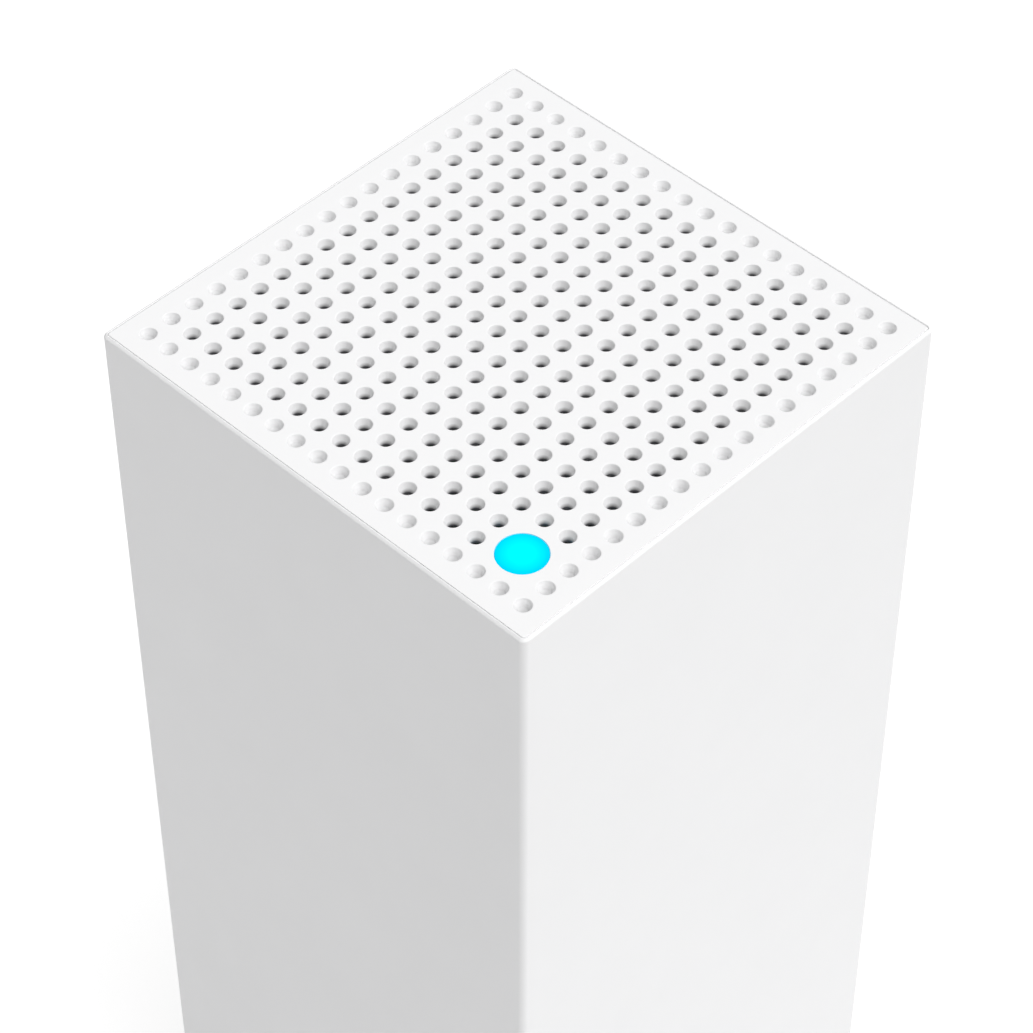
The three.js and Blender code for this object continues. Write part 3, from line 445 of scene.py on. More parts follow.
class Look:
    """A slot's material, built up from its shader's plain values and then its patterns."""

    def __init__(self, slot, colour, roughness, **sockets):
        self.material = bpy.data.materials.new(slot)
        self.material.use_nodes = True
        self.tree = self.material.node_tree
        self.shader = self.tree.nodes["Principled BSDF"]
        set_values(self.shader, {"Base Color": (*colour, 1), "Roughness": roughness, **sockets})
        self.place = self.tree.nodes.new("ShaderNodeTexCoord").outputs["Object"]
        LOOKS[slot] = self.material

    def link(self, output, target):
        self.tree.links.new(output, target)

    def add(self, kind, source, socket="Vector", **values):
        """A new node, with one socket fed by a source and the values of others set."""
        node = self.tree.nodes.new(kind)
        set_values(node, values)
        self.link(source, node.inputs[socket])
        return node

    def noise(self, size, detail=3, stretch=(1, 1, 1)):
        """Soft spots of one size, in millimetres, stretched along an axis if asked."""
        scale = [1 / (size * MM * s) for s in stretch]
        scaled = self.add("ShaderNodeMapping", self.place, Scale=scale).outputs["Vector"]
        return self.add("ShaderNodeTexNoise", scaled, Scale=1, Detail=detail).outputs["Fac"]

    def cells(self, size, metric="EUCLIDEAN", output="Distance"):
        """How far it is to each cell's middle, or each cell's own colour, from about 0.2 to 0.8."""
        texture = self.add("ShaderNodeTexVoronoi", self.place, Scale=1 / (size * MM))
        texture.distance = metric
        return texture.outputs[output]

    def bands(self, pitch, direction):
        scale = 2 * pi / (20 * pitch * MM)
        texture = self.add("ShaderNodeTexWave", self.place, Scale=scale)
        texture.bands_direction = direction
        return texture.outputs["Fac"]

    def calculate(self, operation, first, second):
        """Blends two outputs, or compares the first with a plain number."""
        node = self.add("ShaderNodeMath", first, 0)
        node.operation = operation
        if isinstance(second, float):
            node.inputs[1].default_value = second
        else:
            self.link(second, node.inputs[1])
        return node.outputs["Value"]

    def spread(self, output, low, high, ends=(0.3, 0.7)):
        """The output's range, stretched from its usual ends to low and high."""
        ranges = {"From Min": ends[0], "From Max": ends[1], "To Min": low, "To Max": high}
        return self.add("ShaderNodeMapRange", output, "Value", **ranges).outputs["Result"]

    def colours(self, output, stops, target="Base Color"):
        """Colours along the output's range: each stop is a place from 0 to 1 and a colour."""
        node = self.add("ShaderNodeValToRGB", output, "Fac")
        ramp = node.color_ramp
        while len(ramp.elements) < len(stops):
            ramp.elements.new(0.5)
        for element, (position, colour) in zip(ramp.elements, stops):
            element.position = position
            element.color = (*colour, 1)
        self.link(node.outputs["Color"], self.shader.inputs[target])

    def mottle(self, size, first, second, ends=(0.35, 0.65), detail=3):
        """Soft spots of one size, in millimetres, between two colours."""
        self.colours(self.noise(size, detail), list(zip(ends, (first, second))))

    def roughness(self, output, low, high):
        self.link(self.spread(output, low, high), self.shader.inputs["Roughness"])

    def relief(self, output, depth):
        """Raises the surface by the output, up to a depth in millimetres."""
        node = self.add("ShaderNodeBump", output, "Height", Distance=depth * MM)
        self.link(node.outputs["Normal"], self.shader.inputs["Normal"])

    def depth_below(self, top, reach):
        """How far below a height the surface is, from 0 there to 1 at the reach, both in millimetres."""
        height = self.add("ShaderNodeSeparateXYZ", self.place).outputs["Z"]
        return self.spread(height, 0, 1, (top * MM, (top - reach) * MM))

    def distance_from(self, centre, height_weight=0):
        """Metres from a point, with the height's share of it weighted."""
        scale = (1, 1, height_weight)
        shift = [-c * MM * weight for c, weight in zip(centre, scale)]
        away = self.add("ShaderNodeMapping", self.place, Location=shift, Scale=scale)
        length = self.add("ShaderNodeVectorMath", away.outputs["Vector"], 0)
        length.operation = "LENGTH"
        return length.outputs["Value"]


def fine_white(slot):
    """White plastic with a fine, matt grain, before its colours."""
    look = Look(slot, (0.82, 0.82, 0.825), 0.5, Specular_IOR_Level=0.35)
    look.roughness(look.noise(6), 0.47, 0.55)
    look.relief(look.noise(0.32, detail=2), 0.004)
    return look


def grille_plastic():
    """The same plastic, with shade painted into its colour down in the holes: grey at the pocket floors and
    nearly black at the through holes' lower ends.
    """
    look = fine_white("grille_plastic")
    # Painted shade: the plain face colour, a grey for the shaded pocket floors, and near black for the
    # shaded hole ends.
    face, floor, end = (0.82, 0.82, 0.825), (0.53, 0.53, 0.535), (0.08, 0.08, 0.085)
    shade_depths = [(0, face), (SHADE_START_DEPTH, face), (POCKET_DEPTH, floor), (DARKEST_SHADE_DEPTH, end)]
    stops = [(depth / GRILLE_THICKNESS, colour) for depth, colour in shade_depths]
    look.colours(look.depth_below(TOP, GRILLE_THICKNESS), stops)


def status_light():
    """It glows cyan, bluer towards its edge, and not at all below its face."""
    look = Look("status_light", (0, 0.06, 0.08), 0.6, Specular_IOR_Level=0.0, Emission_Strength=1.0)
    distance = look.distance_from((*LIGHT_CENTRE, TOP), height_weight=8)
    share = look.spread(distance, 0, 0.9, (0, LENS_RADIUS * MM))
    core, mid, rim, unlit = (0.0, 1.0, 1.0), (0.0, 0.8, 1.0), (0.0, 0.66, 1.0), (0, 0, 0)
    stops = [(0.0, core), (0.3, core), (0.7, mid), (0.9, rim), (1.0, unlit)]
    look.colours(share, stops, "Emission Color")
    look.relief(look.noise(0.5), 0.005)


def led_package():
    """A yellow emitter in a pale case."""
    look = Look("led_package", (0.85, 0.83, 0.75), 0.35)
    half_width = 1.6
    distance = look.distance_from((*LIGHT_CENTRE, 0))
    share = look.spread(distance, 0, 1, (0, half_width * MM))
    look.colours(share, [(0.0, (0.9, 0.75, 0.2)), (0.6, (0.9, 0.78, 0.25)), (0.7, (0.86, 0.85, 0.8))])
    look.relief(look.noise(0.2), 0.01)


def circuit_board():
    """Green solder mask over bundles of parallel copper runs, which show as lighter, raised lines."""
    look = Look("circuit_board", (0.01, 0.09, 0.035), 0.35)
    patch = look.cells(7, "MANHATTAN", "Color")
    level_runs = look.calculate("GREATER_THAN", look.bands(0.8, "Z"), 0.72)
    slanted_runs = look.calculate("GREATER_THAN", look.bands(1.3, "DIAGONAL"), 0.72)
    level = look.calculate("MULTIPLY", level_runs, look.calculate("GREATER_THAN", patch, 0.58))
    slanted = look.calculate("MULTIPLY", slanted_runs, look.calculate("LESS_THAN", patch, 0.42))
    copper = look.calculate("MAXIMUM", level, slanted)
    look.colours(copper, [(0.0, (0.008, 0.07, 0.028)), (1.0, (0.016, 0.125, 0.05))])
    look.roughness(look.noise(1.0), 0.28, 0.42)
    look.relief(copper, 0.02)


def heat_sink_aluminium():
    """Drawn metal, with fine lines along the extrusion."""
    look = Look("heat_sink_aluminium", (0.62, 0.63, 0.65), 0.35, Metallic=1.0)
    lines = look.noise(0.15, stretch=(1, 1, 60))
    look.colours(lines, [(0.3, (0.55, 0.56, 0.58)), (0.7, (0.68, 0.69, 0.71))])
    look.roughness(lines, 0.28, 0.42)
    look.relief(lines, 0.01)


grille_plastic()
status_light()
led_package()
circuit_board()
heat_sink_aluminium()

look = fine_white("white_plastic")
look.mottle(14, (0.816, 0.816, 0.821), (0.822, 0.822, 0.827))

look = Look("clear_plastic", (0.88, 0.95, 0.97), 0.1, Transmission_Weight=0.9, IOR=1.49)
look.mottle(2, (0.86, 0.94, 0.96), (0.9, 0.96, 0.98), (0.3, 0.7))
look.roughness(look.noise(1.5), 0.06, 0.16)

look = Look("frame_plastic", (0.045, 0.046, 0.05), 0.6)
look.mottle(0.9, (0.035, 0.036, 0.04), (0.07, 0.071, 0.075), (0.4, 0.7), detail=5)
look.roughness(look.noise(2.5), 0.5, 0.7)
look.relief(look.noise(0.4), 0.02)

look = Look("black_plastic", (0.012, 0.012, 0.013), 0.45)
look.mottle(3, (0.01, 0.01, 0.011), (0.016, 0.016, 0.017))
look.roughness(look.noise(1.2), 0.38, 0.55)
look.relief(look.noise(0.25), 0.008)

look = Look("rocker_plastic", (0.016, 0.016, 0.018), 0.38)
look.mottle(4, (0.014, 0.014, 0.016), (0.02, 0.02, 0.022))
look.roughness(look.noise(0.8), 0.32, 0.48)
look.relief(look.cells(0.3), 0.012)

look = Look("red_plastic", (0.42, 0.02, 0.016), 0.4)
look.mottle(1.5, (0.38, 0.016, 0.014), (0.46, 0.026, 0.02))
look.roughness(look.noise(0.8), 0.34, 0.5)
look.relief(look.noise(0.2), 0.006)

look = Look("chip_resin", (0.02, 0.02, 0.021), 0.55)
look.mottle(0.4, (0.015, 0.015, 0.016), (0.032, 0.032, 0.033), (0.4, 0.65), detail=5)
look.relief(look.noise(0.12), 0.012)

look = Look("thermal_pad", (0.2, 0.25, 0.33), 0.85)
look.mottle(0.8, (0.17, 0.21, 0.28), (0.24, 0.29, 0.37), detail=6)
look.relief(look.noise(0.5), 0.06)

look = Look("foot_rubber", (0.2, 0.2, 0.205), 0.85)
look.mottle(2.2, (0.193, 0.193, 0.198), (0.21, 0.21, 0.215))
look.roughness(look.noise(0.9), 0.75, 0.95)
look.relief(look.noise(0.3), 0.03)

look = Look("cable_jacket", (0.015, 0.015, 0.016), 0.5)
look.roughness(look.noise(0.7), 0.4, 0.6)
look.relief(look.noise(0.25), 0.01)

look = Look("shield_steel", (0.6, 0.6, 0.61), 0.3, Metallic=1.0)
look.colours(look.cells(2.5), [(0.0, (0.56, 0.56, 0.57)), (0.8, (0.64, 0.64, 0.65))])
look.roughness(look.noise(1.5), 0.24, 0.38)
look.relief(look.noise(0.8), 0.01)

look = Look("screw_steel", (0.5, 0.5, 0.52), 0.32, Metallic=1.0)
look.mottle(0.8, (0.44, 0.44, 0.46), (0.56, 0.56, 0.57))
look.roughness(look.noise(0.5), 0.25, 0.42)
look.relief(look.noise(0.15), 0.006)

look = Look("contact_brass", (0.75, 0.52, 0.18), 0.28, Metallic=1.0)
look.mottle(0.6, (0.7, 0.48, 0.16), (0.8, 0.57, 0.22))
look.roughness(look.noise(0.4), 0.22, 0.36)


# ---- Sleeve ----


def notch_tool(start_y):
    """What the cables' way out takes from the back wall: an opening with round upper corners."""
    opening = rectangle((-NOTCH_HALF_WIDTH, NOTCH_HALF_WIDTH), (-NOTCH_TOP, NOTCH_TOP))
    return along_y(prism(rounded(opening, NOTCH_CORNER), (0, HALF + PAST - start_y)), (0, start_y, 0))


def sleeve():
    """The outer tube: a fine profile carried round a square with round corners."""
    low = SLEEVE_LOW.z
    ledge = TOP - RIM_DEPTH
    outside = [(0, low), (0, TOP - RIM_FALL), (RIM_WIDTH - RIM_BEVEL, TOP)]
    inside = [(RIM_WIDTH, TOP - RIM_BEVEL), (RIM_WIDTH, ledge), (WALL, ledge), (WALL, low)]
    roundings = [0.3, 0.3, 0.06, 0.02, 0.1, 0.2, 0.2]  # one for each corner, from the outer lower edge on
    mesh = bmesh.new()
    loops = []
    for inset, z in rounded(outside + inside, roundings, steps=5):
        corner = max(EDGE_RADIUS - inset, INNER_EDGE_RADIUS)
        loops.append(loop_of(mesh, rounded(square(HALF - inset), corner, CORNER_STEPS), z))
    bridge(mesh, *loops, loops[0])
    return cut(solid_of(mesh), notch_tool(HALF - WALL - PAST))


add_piece(
    "sleeve_shell", sleeve(), "white_plastic", stands_for=["sleeve"], bevel=0.25, bevel_angle=60, crease=60
)


# ---- Grille and status light ----


def grille_holes():
    """Each hole's centre, and whether it is in the outermost ring, whose holes are blind."""
    last = HOLES_PER_SIDE - 1
    for i in range(HOLES_PER_SIDE):
        for j in range(HOLES_PER_SIDE):
            under_lens = hypot(i - LENS_STEP, j - LENS_STEP) < 1
            if not under_lens:
                blind = i in (0, last) or j in (0, last)
                yield (GRID_HALF - j * HOLE_PITCH, i * HOLE_PITCH - GRID_HALF), blind


def flat_face(mesh, outer, holes):
    """Fills the plane between an outer loop and its round holes."""
    whole_area, same_place = 1, 1e-5
    loops = [outer, *holes]
    verts = [vert for loop in loops for vert in loop]
    owner = [number for number, loop in enumerate(loops) for _ in loop]
    edges = []
    for loop in loops:
        start = len(edges)
        edges += [(start + k, start + (k + 1) % len(loop)) for k in range(len(loop))]
    flat = [vert.co.xy for vert in verts]
    _, _, triangles, sources, _, _ = delaunay_2d_cdt(flat, edges, [], whole_area, same_place)
    for triangle in triangles:
        corners = [sources[corner][0] for corner in triangle]
        in_one_hole = len({owner[corner] for corner in corners}) == 1 and owner[corners[0]] > 0
        if not in_one_hole:
            mesh.faces.new([verts[corner] for corner in corners])


def quarter(radius, steps=3):
    """How far a rounded edge has come in and gone down, at each step."""
    angles = [pi / 2 * step / steps for step in range(steps + 1)]
    return [(radius * (1 - sin(a)), radius * (1 - cos(a))) for a in angles]


def flared_wall(end_radius, bottom, flare, steps=4):
    """A hole's wall: it narrows fast below the rim, and then runs nearly straight."""
    top = TOP - HOLE_ROUNDING
    narrowing = HOLE_RADIUS - end_radius
    return [(end_radius + narrowing * (1 - s) ** flare, top + (bottom - top) * s) for s in shares(steps)]


def pocket_profile(rim):
    """A blind hole's wall, a round corner, and a floor that is a little dished."""
    floor_z = TOP - POCKET_DEPTH
    corner = [(POCKET_END_RADIUS - 0.1, floor_z + 0.08), (POCKET_END_RADIUS - POCKET_CORNER, floor_z)]
    upper_wall = flared_wall(POCKET_END_RADIUS, floor_z + POCKET_CORNER, POCKET_FLARE)
    return rim + upper_wall + corner + [(0, floor_z - POCKET_DISH)]


def grille_edge(mesh, bottom):
    """The plate's outer faces: a round upper edge, the seam's floor, and a step that fills the rim."""
    edge = HALF - RIM_WIDTH - SEAM
    step_edge = HALF - RIM_WIDTH - SEAM_GAP
    seam_floor = TOP - SEAM_DEPTH
    step_corner = EDGE_RADIUS - RIM_WIDTH
    corner = step_corner - SEAM
    rows = [(edge - inward, TOP - down, corner) for inward, down in quarter(GRILLE_ROUNDING)]
    rows += [(edge, seam_floor, corner)] + [(step_edge, z, step_corner) for z in (seam_floor, bottom)]
    loops = [loop_of(mesh, rounded(square(half), radius, CORNER_STEPS), z) for half, z, radius in rows]
    bridge(mesh, *loops)
    return loops[0], loops[-1]


def grille_plate():
    bottom = TOP - GRILLE_THICKNESS
    rim = [(HOLE_RADIUS + out, TOP - down) for out, down in quarter(HOLE_ROUNDING)]
    through = rim + flared_wall(HOLE_END_RADIUS, bottom, HOLE_FLARE)
    pocket = pocket_profile(rim)
    mesh = bmesh.new()
    tops, bottoms = [], []
    for centre, blind in grille_holes():
        top, end = lathe(mesh, pocket if blind else through, centre, HOLE_SIDES)
        tops.append(top)
        if not blind:
            bottoms.append(end)
    lens_hole = LENS_RADIUS + LENS_SEAM
    lens_wall = [(lens_hole + out, TOP - down) for out, down in quarter(LENS_HOLE_ROUNDING)]
    top, end = lathe(mesh, lens_wall + [(lens_hole, bottom)], LIGHT_CENTRE, LENS_SIDES)
    tops.append(top)
    bottoms.append(end)
    upper_edge, lower_edge = grille_edge(mesh, bottom)
    flat_face(mesh, upper_edge, tops)
    flat_face(mesh, lower_edge, bottoms)
    return solid_of(mesh)


add_piece(
    "grille_plate", grille_plate(), "grille_plastic",
    stands_for=["top_grille"], crease=60,
)


def grille_skirt():
    """What holds the plate: a skirt inside the sleeve, and a hooked leg on each side."""
    low, _ = cad_box("top_grille")
    skirt = (TOP - SKIRT_DEPTH, TOP - GRILLE_THICKNESS)
    ring = cut(
        square_block(BASE_HALF, skirt, BASE_CORNER),
        square_block(SKIRT_INNER_HALF, (skirt[0] - PAST, skirt[1] + PAST), BASE_CORNER),
    )
    leg_x = (HOOK_ALONG - HOOK_HALF_WIDTH, HOOK_ALONG + HOOK_HALF_WIDTH)
    leg_face = -SKIRT_INNER_HALF - LEG_OFFSET
    leg_back = leg_face - LEG_THICKNESS
    legs = []
    for turn in range(4):
        leg = joined(
            block(leg_x, (leg_back, leg_face), (low.z, skirt[0] + PAST)),
            block(leg_x, (leg_back - HOOK_REACH, leg_face - PAST), (low.z, low.z + HOOK_HEIGHT)),
        )
        legs.append(moved(leg, Matrix.Rotation(turn * pi / 2, 4, "Z")))
    return joined(ring, *legs)


add_piece("grille_skirt", grille_skirt(), "white_plastic", bevel=0.15)


def lens():
    """A flush disc with a flange under the plate."""
    low, high = cad_box("status_lens")
    flange_radius = LENS_RADIUS + LENS_FLANGE
    flange_top = high.z - GRILLE_THICKNESS - CLEARANCE
    profile = [(0, low.z), (flange_radius, low.z), (flange_radius, flange_top), (LENS_RADIUS, flange_top)]
    bevel = [(LENS_RADIUS - LENS_BEVEL / 2, TOP - LENS_BEVEL / 6), (LENS_RADIUS - LENS_BEVEL, TOP)]
    return turned(profile + bevel + [(0, TOP)], LIGHT_CENTRE, LENS_SIDES)


def light_guide():
    """A clear rod that stands over the light-emitting chip on a cup."""
    low, high = cad_box("light_guide")
    outer = high.x - LIGHT_X
    inside = cad_box("status_led")[1].z + CLEARANCE
    roof = inside + GUIDE_CUP_ROOF
    edge = GUIDE_CHAMFER / 2
    profile = [(0, inside), (GUIDE_CUP_RADIUS, inside), (GUIDE_CUP_RADIUS, low.z), (outer, low.z)]
    profile += [(outer, roof - GUIDE_CHAMFER), (outer - GUIDE_CHAMFER, roof)]
    profile += [(GUIDE_RADIUS + GUIDE_CHAMFER, roof), (GUIDE_RADIUS, roof + GUIDE_CHAMFER)]
    profile += [(GUIDE_RADIUS, high.z - edge), (GUIDE_RADIUS - edge, high.z), (0, high.z)]
    return turned(profile, LIGHT_CENTRE)


add_piece("lens", lens(), "status_light", stands_for=["status_lens"], crease=60)
add_piece("light_guide_rod", light_guide(), "clear_plastic", stands_for=["light_guide"], crease=40)


# ---- Base, with the socket bay, its feet and its screws ----


def base():
    low, high = cad_box("base")
    bottom = low.z
    ceiling = high.z - BAY_WALL
    bay_outer = BAY_HALF_WIDTH + BAY_WALL
    skirt_hollow = BASE_HALF - BASE_SKIRT_WALL
    body = joined(
        square_block(high.x, (bottom, bottom + BASE_FLANGE), EDGE_RADIUS),
        square_block(BASE_HALF, (bottom, BASE_PLATE_TOP), BASE_CORNER),
        cut(
            square_block(BASE_HALF, (bottom, BASE_SKIRT_TOP), BASE_CORNER),
            square_block(skirt_hollow, (bottom + BASE_FLANGE, BASE_SKIRT_TOP + PAST), BASE_CORNER),
        ),
        block((-bay_outer, bay_outer), (BAY_FRONT_Y - BAY_WALL, BASE_HALF), (bottom, high.z), BAY_CORNER),
        *[rod(PAD_RADIUS, post, (bottom, bottom + PAD_HEIGHT)) for post in POSTS],
    )
    bay_back = BASE_HALF - BAY_WALL
    through_ceiling = (ceiling - PAST, high.z + PAST)
    sockets = (*PORTS, "power_inlet", "power_switch_housing")
    button = cad_centre("reset_button")
    foot_top = cad_box("foot_1")[1].z
    return cut(
        body,
        block((-BAY_HALF_WIDTH, BAY_HALF_WIDTH), (BAY_FRONT_Y, bay_back), (-PAST, ceiling), BAY_CORNER),
        notch_tool(bay_back - PAST),
        *[cad_block(socket, SOCKET_CORNER, CLEARANCE, through_ceiling) for socket in sockets],
        rod(BUTTON_RADIUS + CLEARANCE, button.xy, through_ceiling),
        *[rod(COUNTERBORE_RADIUS, post, (-PAST, BASE_PLATE_TOP)) for post in POSTS],
        *[rod(SCREW_RADIUS + CLEARANCE, post, (-PAST, BASE_SKIRT_TOP)) for post in POSTS],
        *[foot_solid(foot, CLEARANCE, (-PAST, foot_top + CLEARANCE)) for foot in FEET],
        *[block(x, y, (-PAST, BASE_PLATE_TOP + PAST), VENT_ROUNDING) for x, y in vents()],
    )


def vents():
    """The slots that let cool air in, ahead of the bay."""
    first = -(VENT_COUNT - 1) / 2
    for number in range(VENT_COUNT):
        x = (first + number) * HOLE_PITCH
        yield (x - VENT_HALF_WIDTH, x + VENT_HALF_WIDTH), VENT_Y


def foot_solid(node, margin=0, z=None):
    """A pad with round ends."""
    low, high = cad_box(node)
    radius = min(high.x - low.x, high.y - low.y) / 2 + margin
    return cad_block(node, radius * FOOT_ROUNDING, margin, z)


def screw(head_bottom, head_top, end):
    """A pan-head screw along +Z: a domed head with a cross recess, and a coarse thread."""
    dome = [(0, 0), (0.55, 0), (0.85, 0.2), (1, 0.65)]  # shares of the head's radius, and heights
    edge, tip_length = 0.1, 0.6
    head = [(SCREW_HEAD_RADIUS * share, head_bottom + rise) for share, rise in dome]
    head += [(SCREW_HEAD_RADIUS, head_top - edge), (SCREW_HEAD_RADIUS - edge, head_top)]
    root = SCREW_RADIUS - THREAD_DEPTH
    turns = int((end - head_top - 1) / THREAD_PITCH)
    thread = []
    for turn in range(turns):
        z = head_top + 0.2 + turn * THREAD_PITCH
        thread += [(root, z), (SCREW_RADIUS, z + THREAD_PITCH / 2)]
    tip = [(root, end - tip_length), (SCREW_RADIUS * 0.5, end), (0, end)]
    length, width, recess = *RECESS_HALF, (head_bottom - PAST, head_bottom + RECESS_DEPTH)
    arms = [centred_block(length, width, recess, edge), centred_block(width, length, recess, edge)]
    return cut(turned(head + thread + tip), *arms)


add_piece("base_shell", base(), "white_plastic", stands_for=["base"], bevel=0.2)
for number, (foot, node, post) in enumerate(zip(FEET, BASE_SCREWS, POSTS), 1):
    add_piece(f"foot_pad_{number}", foot_solid(foot), "foot_rubber", stands_for=[foot], bevel=0.35)
    low, high = cad_box(node)
    fastener = screw(low.z, low.z + SCREW_HEAD_HEIGHT, high.z)
    moved(fastener, Matrix.Translation((post.x, post.y, 0)))
    add_piece(f"{node}_threaded", fastener, "screw_steel", stands_for=[node], crease=40)


# ---- Sockets, power switch and reset button, in the bay's ceiling ----


def network_port(node):
    """A jack whose mouth faces down: a plug's latch goes in the stepped side of it."""
    low, _ = cad_box(node)
    centre = cad_centre(node)
    step_y, end = PORT_MOUTH_Y
    mouth_floor = low.z + PORT_MOUTH_DEPTH
    steps = [
        (PORT_MOUTH_HALF, (step_y, end), mouth_floor),
        (PORT_LATCH_HALF, (step_y - PORT_LATCH_REACH, step_y + PAST), mouth_floor),
        (PORT_TIP_HALF, (step_y - PORT_TIP_REACH, step_y), low.z + PORT_TIP_DEPTH),
    ]
    tools = []
    for half_width, (y0, y1), floor_z in steps:
        x = (centre.x - half_width, centre.x + half_width)
        y = (centre.y + y0, centre.y + y1)
        tools.append(block(x, y, (low.z - PAST, floor_z), radius=0.15))
    return cut(cad_block(node, SOCKET_CORNER), *tools)


def ribbon(points, thickness, x):
    """A strip along X's normal plane: the points are its Y and Z, and x is its two edges."""
    back = [(y + thickness, z) for y, z in reversed(points)]
    from_outline = Matrix(((0, 0, 1, 0), (1, 0, 0, 0), (0, 1, 0, 0), (0, 0, 0, 1)))
    return moved(prism(points + back, x), from_outline)


def wire_places(node):
    """The middle of each of a port's wires, along X."""
    first = cad_centre(node).x - (PORT_WIRES - 1) / 2 * PORT_WIRE_PITCH
    return [first + number * PORT_WIRE_PITCH for number in range(PORT_WIRES)]


def port_contacts(node):
    """Springy wires that slope away from the mouth."""
    low, _ = cad_box(node)
    wall_y = cad_centre(node).y + PORT_MOUTH_Y[1]
    bend = [(-0.5, 2.0), (-0.7, 2.4), (-2.6, 9.0), (-2.4, 9.5), (-0.5, 11.6)]  # from the wall and the mouth
    route = [(wall_y + y, low.z + z) for y, z in bend]
    half = PORT_WIRE_SIZE / 2
    return gathered([ribbon(route, PORT_WIRE_SIZE, (x - half, x + half)) for x in wire_places(node)])


def power_inlet():
    low, high = cad_box("power_inlet")
    centre = cad_centre("power_inlet").xy
    start, bore_top = low.z - PAST, low.z + INLET_BORE_DEPTH
    mouth = INLET_BORE_RADIUS + INLET_LEAD_IN
    bore = [(0, start), (mouth, start), (mouth, low.z), (INLET_BORE_RADIUS, low.z + INLET_LEAD_IN)]
    bore += [(INLET_BORE_RADIUS, bore_top), (0, bore_top)]
    pin_radius = cad_box("power_inlet_pin")[1].x - centre.x
    pin_gap = rod(pin_radius + CLEARANCE, centre, (low.z, high.z - INLET_BACK))
    return cut(cad_block("power_inlet", radius=0.8), turned(bore, centre, LARGE_SIDES), pin_gap)


def inlet_pin():
    low, high = cad_box("power_inlet_pin")
    centre = cad_centre("power_inlet_pin").xy
    radius = high.x - centre.x
    tip = [(0, 0), (0.5, 0.05), (0.85, 0.3), (1, 0.8)]  # shares of the radius, and heights
    profile = [(radius * share, low.z + rise) for share, rise in tip]
    return turned(profile + [(radius, high.z), (0, high.z)], centre, SMALL_SIDES)


def inlet_lining():
    """The outer contact: a thin metal sleeve in the bore, slit along most of one side."""
    low, _ = cad_box("power_inlet")
    centre = cad_centre("power_inlet").xy
    radius = INLET_BORE_RADIUS - LINING_FIT
    start, end = low.z + LINING_START, low.z + INLET_BORE_DEPTH - 0.1
    slit_half, uncut = 0.3, 2
    inner = rod(radius - LINING_THICKNESS, centre, (start - PAST, end + PAST), LARGE_SIDES)
    slit_x = (centre.x - slit_half, centre.x + slit_half)
    slit = block(slit_x, (centre.y, centre.y + radius + PAST), (start - PAST, end - uncut))
    return cut(rod(radius, centre, (start, end), LARGE_SIDES), inner, slit)


def switch_housing():
    low, _ = cad_box("power_switch_housing")
    reach, width = ROCKER_REACH + WELL_END_GAP, ROCKER_HALF_WIDTH + CLEARANCE
    x, y, z = PIVOT
    well_z = (low.z - PAST, z + WELL_RISE)
    well = block((x - reach, x + reach), (y - width, y + width), well_z, radius=0.3)
    socket_end = ROCKER_HALF_WIDTH + TRUNNION_LENGTH + CLEARANCE
    socket = along_y(rod(TRUNNION_RADIUS + TRUNNION_PLAY, (0, 0), (-socket_end, socket_end)), PIVOT)
    return cut(cad_block("power_switch_housing", radius=0.6), well, socket)


def rocker():
    """A rocker in its own frame, level: two dished faces that look down, and a trunnion at each side."""
    steps, dishing = 6, 1.5
    tip_x, tip_drop = ROCKER_REACH * cos(ROCKER_FACE_ANGLE), ROCKER_REACH * sin(ROCKER_FACE_ANGLE)
    right = [(tip_x * s, ROCKER_WAIST + (tip_drop - ROCKER_WAIST) * s ** dishing) for s in shares(steps)]
    angles = [ROCKER_FACE_ANGLE + (ROCKER_HEEL_ANGLE - ROCKER_FACE_ANGLE) * s for s in shares(steps)]
    right += [(ROCKER_REACH * cos(a), ROCKER_REACH * sin(a)) for a in angles]
    left = [(-x, drop) for x, drop in reversed(right)]
    lying = prism([(0, ROCKER_WAIST)] + right + left, (-ROCKER_HALF_WIDTH, ROCKER_HALF_WIDTH))
    trunnion_end = ROCKER_HALF_WIDTH + TRUNNION_LENGTH
    axle = rod(TRUNNION_RADIUS, (0, 0), (-trunnion_end, trunnion_end))
    return along_y(joined(lying, axle), (0, 0, 0))


def rocker_marks():
    """A raised bar and a raised ring, one for each end of the rocker."""
    slope = atan2(ROCKER_REACH * sin(ROCKER_FACE_ANGLE) - ROCKER_WAIST, ROCKER_REACH)
    depth = -ROCKER_WAIST - ROCKER_REACH * tan(slope) * MARK_FALL
    z = (-MARK_HEIGHT, MARK_ROOT)
    bar = centred_block(*BAR_HALF, z, radius=0.15)
    ring = cut(rod(RING_RADIUS, (0, 0), z), rod(RING_RADIUS - RING_WIDTH, (0, 0), (-PAST, PAST)))
    placed = []
    for mark, side in ((bar, 1), (ring, -1)):
        turn = Matrix.Rotation(side * slope, 4, "Y")
        place = Matrix.Translation((side * ROCKER_REACH * MARK_PLACE, 0, depth))
        placed.append(moved(mark, place @ turn))
    return gathered(placed)


def tilted(solid):
    """From the rocker's own frame to its place at rest."""
    return moved(solid, Matrix.Translation(PIVOT) @ Matrix.Rotation(ROCKER_TILT, 4, "Y"))


def reset_button():
    """A dished cap, the flange that stops it, and the stem that works the switch."""
    low, high = cad_box("reset_button")
    centre = cad_centre("reset_button").xy
    radius, stem, fillet = BUTTON_RADIUS, BUTTON_STEM_RADIUS, 0.2
    flange, flange_radius = low.z + BUTTON_FLANGE_RISE, high.x - centre.x
    flange_top = flange + BUTTON_FLANGE_THICKNESS
    cap = [(radius, 0.35), (radius / 2, 0.25), (0.35, 0), (0.15, 0.03), (0, fillet)]  # insets, and heights
    profile = [(radius - inset, low.z + rise) for inset, rise in cap] + [(radius, flange)]
    profile += [(flange_radius, flange), (flange_radius, flange_top), (stem + fillet, flange_top)]
    profile += [(stem, flange_top + fillet), (stem, high.z), (0, high.z)]
    return turned(profile, centre)


